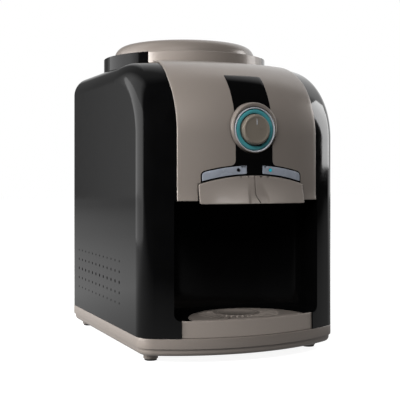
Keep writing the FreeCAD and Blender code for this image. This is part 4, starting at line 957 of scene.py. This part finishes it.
# inner radius, outer radius and rise off the dial plate
TEAL_BAND = (21.2, 26.9, 2.4)
SILVER_BAND = (27.5, 29.5, 3.0)


def knob_ridge(angle, radius, height):
    """Fine grip ridges round the knob's flank, fading out at the face."""
    grip = ease((radius - RIDGE_INSIDE) / RIDGE_FADE)
    return radius - RIDGE_DEPTH * grip * max(0.0, math.cos(RIDGES * angle)) ** 0.5


def make_knob():
    """The ridged cap and the pointer on it."""
    centre = (0, 0, KNOB_Z)
    front = corner("thermostat_knob", 0).y
    back = corner("thermostat_knob", 1).y
    face = KNOB_RADIUS - 3.2
    # up the flank from the back, round the crowned lip and over the slightly sunken face
    profile = [(ON_AXIS, back), (KNOB_RADIUS - 0.6, back), (KNOB_RADIUS, back - 0.6),
               (KNOB_RADIUS, front + 4.6), (KNOB_RADIUS - 0.15, front + 3.6),
               (KNOB_RADIUS - 0.7, front + 2.2), (KNOB_RADIUS - 1.5, front + 1.0),
               (face + 0.9, front + 0.25), (face + 0.3, front + 0.03), (face - 0.4, front),
               (face - 1.0, front + 0.12), (face - 1.6, front + 0.42), (face - 2.4, front + 0.52),
               (face * 0.5, front + 0.6), (ON_AXIS, front + 0.62)]
    cap = lathe_shape(profile, centre, "Y", count=RIDGES * 8, ridge=knob_ridge)
    finish_mesh("knob_cap", *cap, "knob_cap", "thermostat_knob", ["thermostat_knob"])
    pointer = block_shape((-0.55, front + 0.25, KNOB_Z + 6.5), (0.55, front + 1.2, KNOB_Z + 13.6), 0.2, 0.3)
    finish_mesh("knob_pointer", *pointer, "silver_trim", "thermostat_knob")


def ring_band(inner, outer, rise, edge):
    """Section of a ring on the dial plate, with a softly crowned face towards -Y."""
    steps = 12
    y = DIAL_Y - rise
    points = [(inner, y + rise), (outer, y + rise), (outer, y + edge * 0.9)]
    for k in range(1, steps):
        share = k / steps
        crown = (rise - edge) * (1 - (2 * share - 1) ** 2) * 0.35
        points.append((outer + (inner - outer) * share, y + edge * (2 * share - 1) ** 6 * 0.9 - crown))
    points.append((inner, y + edge * 0.9))
    return points


def make_dial():
    """The lit ring and the silver ring round it."""
    centre = (0, 0, KNOB_Z)
    teal = lathe_shape(ring_band(*TEAL_BAND, edge=0.6), centre, "Y", 192)
    finish_mesh("teal_light_ring", *teal, "teal_ring", "cabinet", ["teal_ring"])
    silver = lathe_shape(ring_band(*SILVER_BAND, edge=0.7), centre, "Y", 192)
    finish_mesh("silver_trim_ring", *silver, "silver_trim", "cabinet", ["silver_ring"])


def make_bezel():
    """The boss round the dial: almost level with the rings at its foot, broad and proud at its top."""
    front = corner("knob_bezel", 0).y
    # each section: radius, y, how far its centre lies above the dial's
    sections = [
        (34.2, front + 14.0, 2.3), (34.1, front + 6.0, 2.3), (33.6, front + 4.4, 2.6),
        (33.0, front + 2.8, 3.0), (32.4, front + 1.5, 3.3), (31.9, front + 0.6, 3.4),
        (31.5, front + 0.15, 3.2), (31.2, front, 2.8), (30.8, front + 0.1, 1.5),
        (30.5, front + 0.5, 0.6), (30.35, front + 1.0, 0.2), (30.3, front + 1.6, 0.0),
        (30.4, front + 4.6, 0.0), (30.4, front + 14.0, 0.0),
    ]
    count = 160
    rows = []
    for radius, y, lift in sections:
        rows.append([(radius * math.cos(2 * math.pi * k / count), y,
                      KNOB_Z + lift + radius * math.sin(2 * math.pi * k / count))
                     for k in range(count)])
    rows.append(rows[0])
    finish_mesh("dial_bezel", *grid_shape(rows), "champagne", "cabinet", ["knob_bezel"])


# -------------------------------- drip tray and grille

FRONT_ARC = 272.0
FRONT_CENTRE = 79.0
TRAY_Y = -178.3
TRAY_RADIUS = 82.3
TRAY_INSET = 3.2  # how far the bowl lies inside the casing's front arc
GRILLE_INSET = 5.3
GRILLE_GAP = 2.3  # between the grille's round edge and the tray's
TRAY_TOP = corner("drip_tray", 1).z
TRAY_FOOT = corner("drip_tray", 0).z
TRAY_HALF = corner("drip_tray", 1).x
TRAY_FACE_FOOT = 34.4
TRAY_FACE_INSET = 2.0
RIM_LEDGE = 53.8  # the step inside the bowl's rim, just under the grille
PLATFORM_Y = -134.2
PLATFORM_RADIUS = 27.4


def front_arc_y(x, inset):
    """Y of the casing's front arc, moved in by an inset."""
    return FRONT_CENTRE - math.sqrt((FRONT_ARC - inset) ** 2 - x * x)


def round_plan(radius, inset, steps=72):
    """Plan of the tray or its grille: a circle cut off by an arc parallel to the front."""
    far = FRONT_ARC - inset
    gap = FRONT_CENTRE - TRAY_Y
    y = (far ** 2 - radius ** 2 - gap ** 2) / (2 * gap)
    x = math.sqrt(radius ** 2 - y ** 2)
    turn = math.degrees(math.atan2(front_arc_y(x, inset) - TRAY_Y, x))
    back = arc(radius, (0, TRAY_Y), turn, 180 - turn, steps)
    across = [-x + 2 * x * k / ARCH_STEPS for k in range(1, ARCH_STEPS)]
    return back + [(place, front_arc_y(place, inset)) for place in across]


def tray_face_point(x, height, out):
    """A point off the tray's front face."""
    radius = FRONT_ARC - TRAY_FACE_INSET + out
    turn = math.asin(x / (FRONT_ARC - TRAY_FACE_INSET))
    return (radius * math.sin(turn), FRONT_CENTRE - radius * math.cos(turn), height)


def make_tray():
    """The tray's front plate and the bowl behind it."""
    face = [(-TRAY_HALF, TRAY_FACE_FOOT), (TRAY_HALF, TRAY_FACE_FOOT), (TRAY_HALF, TRAY_TOP),
            (-TRAY_HALF, TRAY_TOP)]
    front = sheet_shape(tray_face_point, face, thick=3.0, edge=0.8, step=4.0)
    floor = TRAY_FOOT + 2.2
    levels = round_edge(0, floor, 2.0, -1) + round_edge(0, TRAY_TOP, 0.7, 1)
    levels += [(1.5, TRAY_TOP), (2.0, TRAY_TOP - 0.5), (2.0, RIM_LEDGE), (4.0, RIM_LEDGE),
               (4.0, floor + 3.0), (5.0, floor + 2.0)]
    bowl = wall_shape(round_plan(TRAY_RADIUS, TRAY_INSET), levels)
    finish_mesh("drip_tray_shell", *joined(front, bowl), "champagne", "drip_tray", ["drip_tray"])


def grille_slots():
    """Radial slots round the platform, each as long as the grille has room for."""
    slots = []
    spokes = 30
    half = 1.6  # half a slot's width
    longest, shortest = 27, 5
    rim, front_rim = 8, 13  # what the slots keep off the tray's edge and the front arc
    for i in range(spokes):
        angle = math.radians(360 * (i + 0.5) / spokes)
        way = Vector((math.cos(angle), math.sin(angle)))
        side = Vector((-way.y, way.x))
        start = PLATFORM_RADIUS + 4.5
        reach = start
        while reach < start + longest:
            spot = Vector((0, PLATFORM_Y)) + way * (reach + half)
            off_rim = math.hypot(spot.x, spot.y - TRAY_Y) > TRAY_RADIUS - rim
            if off_rim or spot.y < front_arc_y(spot.x, front_rim):
                break
            reach += 0.5
        if reach - start < shortest:
            continue
        near = Vector((0, PLATFORM_Y)) + way * start
        far = Vector((0, PLATFORM_Y)) + way * reach
        slots.append(rounded([near - side * half, far - side * half, far + side * half, near + side * half],
                             [half * 0.98] * 4, 4))
    return slots


def make_grille():
    """The slotted plate and the round platform among its slots."""
    top = corner("drip_grille", 1).z
    low = corner("drip_grille", 0).z

    def surface(x, y, out):
        return (x, y, top + out)

    hole = arc(PLATFORM_RADIUS + 1.4, (0, PLATFORM_Y), 0, 356, 89)
    plate = sheet_shape(surface, round_plan(TRAY_RADIUS - GRILLE_GAP, GRILLE_INSET), [hole, *grille_slots()],
                        thick=top - low, edge=0.5, step=3.0, boundary_step=1.2)
    platform = lathe_shape(
        [(ON_AXIS, top - 2.2), (PLATFORM_RADIUS + 2.5, top - 2.2), (PLATFORM_RADIUS + 2.5, top - 1.2),
         (PLATFORM_RADIUS, top - 1.2), (PLATFORM_RADIUS, top - 0.5), (PLATFORM_RADIUS - 0.15, top - 0.15),
         (PLATFORM_RADIUS - 0.5, top), (PLATFORM_RADIUS - 3, top), (PLATFORM_RADIUS - 3.6, top - 0.35),
         (ON_AXIS, top - 0.35)], (0, PLATFORM_Y, 0), "Z", 120)
    finish_mesh("drip_grille_plate", *joined(plate, platform), "champagne", "drip_grille", ["drip_grille"])


# -------------------------------- base and bottle seat

HALF_WIDTH = CAD_BOX[1][0] / MM
REAR_Y = 196.0
EDGE_ROUND = 29.0


def casing_plan(steps=14, front_steps=64, side_steps=24):
    """The casing seen from above: a front arc and straight sides with rounded corners."""
    x = HALF_WIDTH - EDGE_ROUND
    y = FRONT_CENTRE - math.sqrt((FRONT_ARC - EDGE_ROUND) ** 2 - x * x)
    turn = math.degrees(math.atan2(FRONT_CENTRE - y, x))
    plan = arc(FRONT_ARC, (0, FRONT_CENTRE), 180 + turn, 360 - turn, front_steps)
    plan += arc(EDGE_ROUND, (x, y), -turn, 0, steps)[1:]
    plan += [(HALF_WIDTH, y + (REAR_Y - EDGE_ROUND - y) * k / side_steps) for k in range(1, side_steps)]
    plan += arc(EDGE_ROUND, (x, REAR_Y - EDGE_ROUND), 0, 90, steps)
    plan += [(x - 2 * x * k / side_steps, REAR_Y) for k in range(1, side_steps)]
    plan += arc(EDGE_ROUND, (-x, REAR_Y - EDGE_ROUND), 90, 180, steps)
    plan += [(-HALF_WIDTH, REAR_Y - EDGE_ROUND - (REAR_Y - EDGE_ROUND - y) * k / side_steps)
             for k in range(1, side_steps)]
    plan += arc(EDGE_ROUND, (-x, y), 180, 180 + turn, steps)[:-1]
    return plan


def make_base():
    """The base: a foot band, a step, and an upper band flush with the casing."""
    low = corner("base_pan", 0).z
    top = corner("base_pan", 1).z
    step = 20.6  # where the base steps in under its upper band
    levels = [(8.5, low)] + [(2.5 + 6 * (1 - math.sin(a)), low + 6 * (1 - math.cos(a)))
                             for a in np.linspace(0.15, math.pi / 2, 8)]
    levels += [(2.5, step - 0.9), (2.2, step - 0.35), (1.5, step - 0.1), (0.6, step), (0.15, step + 0.3),
               (0, step + 0.9), (0, top - 0.9), (0.25, top - 0.25), (0.9, top), (9.2, top), (9.8, top - 0.6),
               (10, top - 2), (10, 15)]
    finish_mesh("base_shell", *wall_shape(casing_plan(), levels), "champagne", "cabinet", ["base_pan"])


def make_seat():
    """The bottle seat: a flange on the ring, a dome up to the rim and a funnel inside it."""
    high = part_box("bottle_seat")[1]
    top = high.z / MM
    ledge = corner("front_panel", 1).z
    rim = 84.0
    flange = high.x / MM
    dome = [(109.7, ledge), (109.2, ledge + 0.9)]
    for k in range(1, 15):
        turn = math.pi / 2 * k / 14
        dome.append((rim + 3.4 + (109.0 - rim - 3.4) * math.cos(turn) ** 0.85,
                     ledge + 1.2 + (top - ledge - 1.2) * math.sin(turn)))
    profile = [(flange - 2, ledge - 3), (flange, ledge - 2.6), (flange, ledge - 0.5), (flange - 0.5, ledge)]
    profile += dome
    # over the rim and down the funnel to the spike, then back up its underside
    profile += [(rim + 0.5, top - 0.05), (rim - 1.6, top - 0.5), (rim - 3.2, top - 1.8),
                (rim - 4.2, top - 4.2), (rim - 9, ledge - 14), (rim - 12, ledge - 19.5),
                (rim - 18, ledge - 24), (33, ledge - 27), (14, ledge - 28), (14, ledge - 31),
                (33, ledge - 30), (rim - 16.5, ledge - 27), (rim - 6, ledge - 16), (rim - 1.4, top - 3.6),
                (rim + 3, top - 3.2), (100, ledge + 8), (106, ledge - 1), (106.3, ledge - 3)]
    finish_mesh("bottle_seat_shell", *lathe_shape(profile, (0, RING_Y, 0), "Z", 200), "champagne",
                "bottle_seat", ["bottle_seat"], sharp=45)


# -------------------------------- all pieces, then the lights for some

make_front_panel()
make_display_strip()
make_label_plates()
make_levers()
make_tap_springs()
make_knob()
make_dial()
make_bezel()
make_tray()
make_grille()
make_base()
make_seat()

for *setting, pieces in PIECE_LIGHTS:
    flag(add_light(*setting), *pieces)
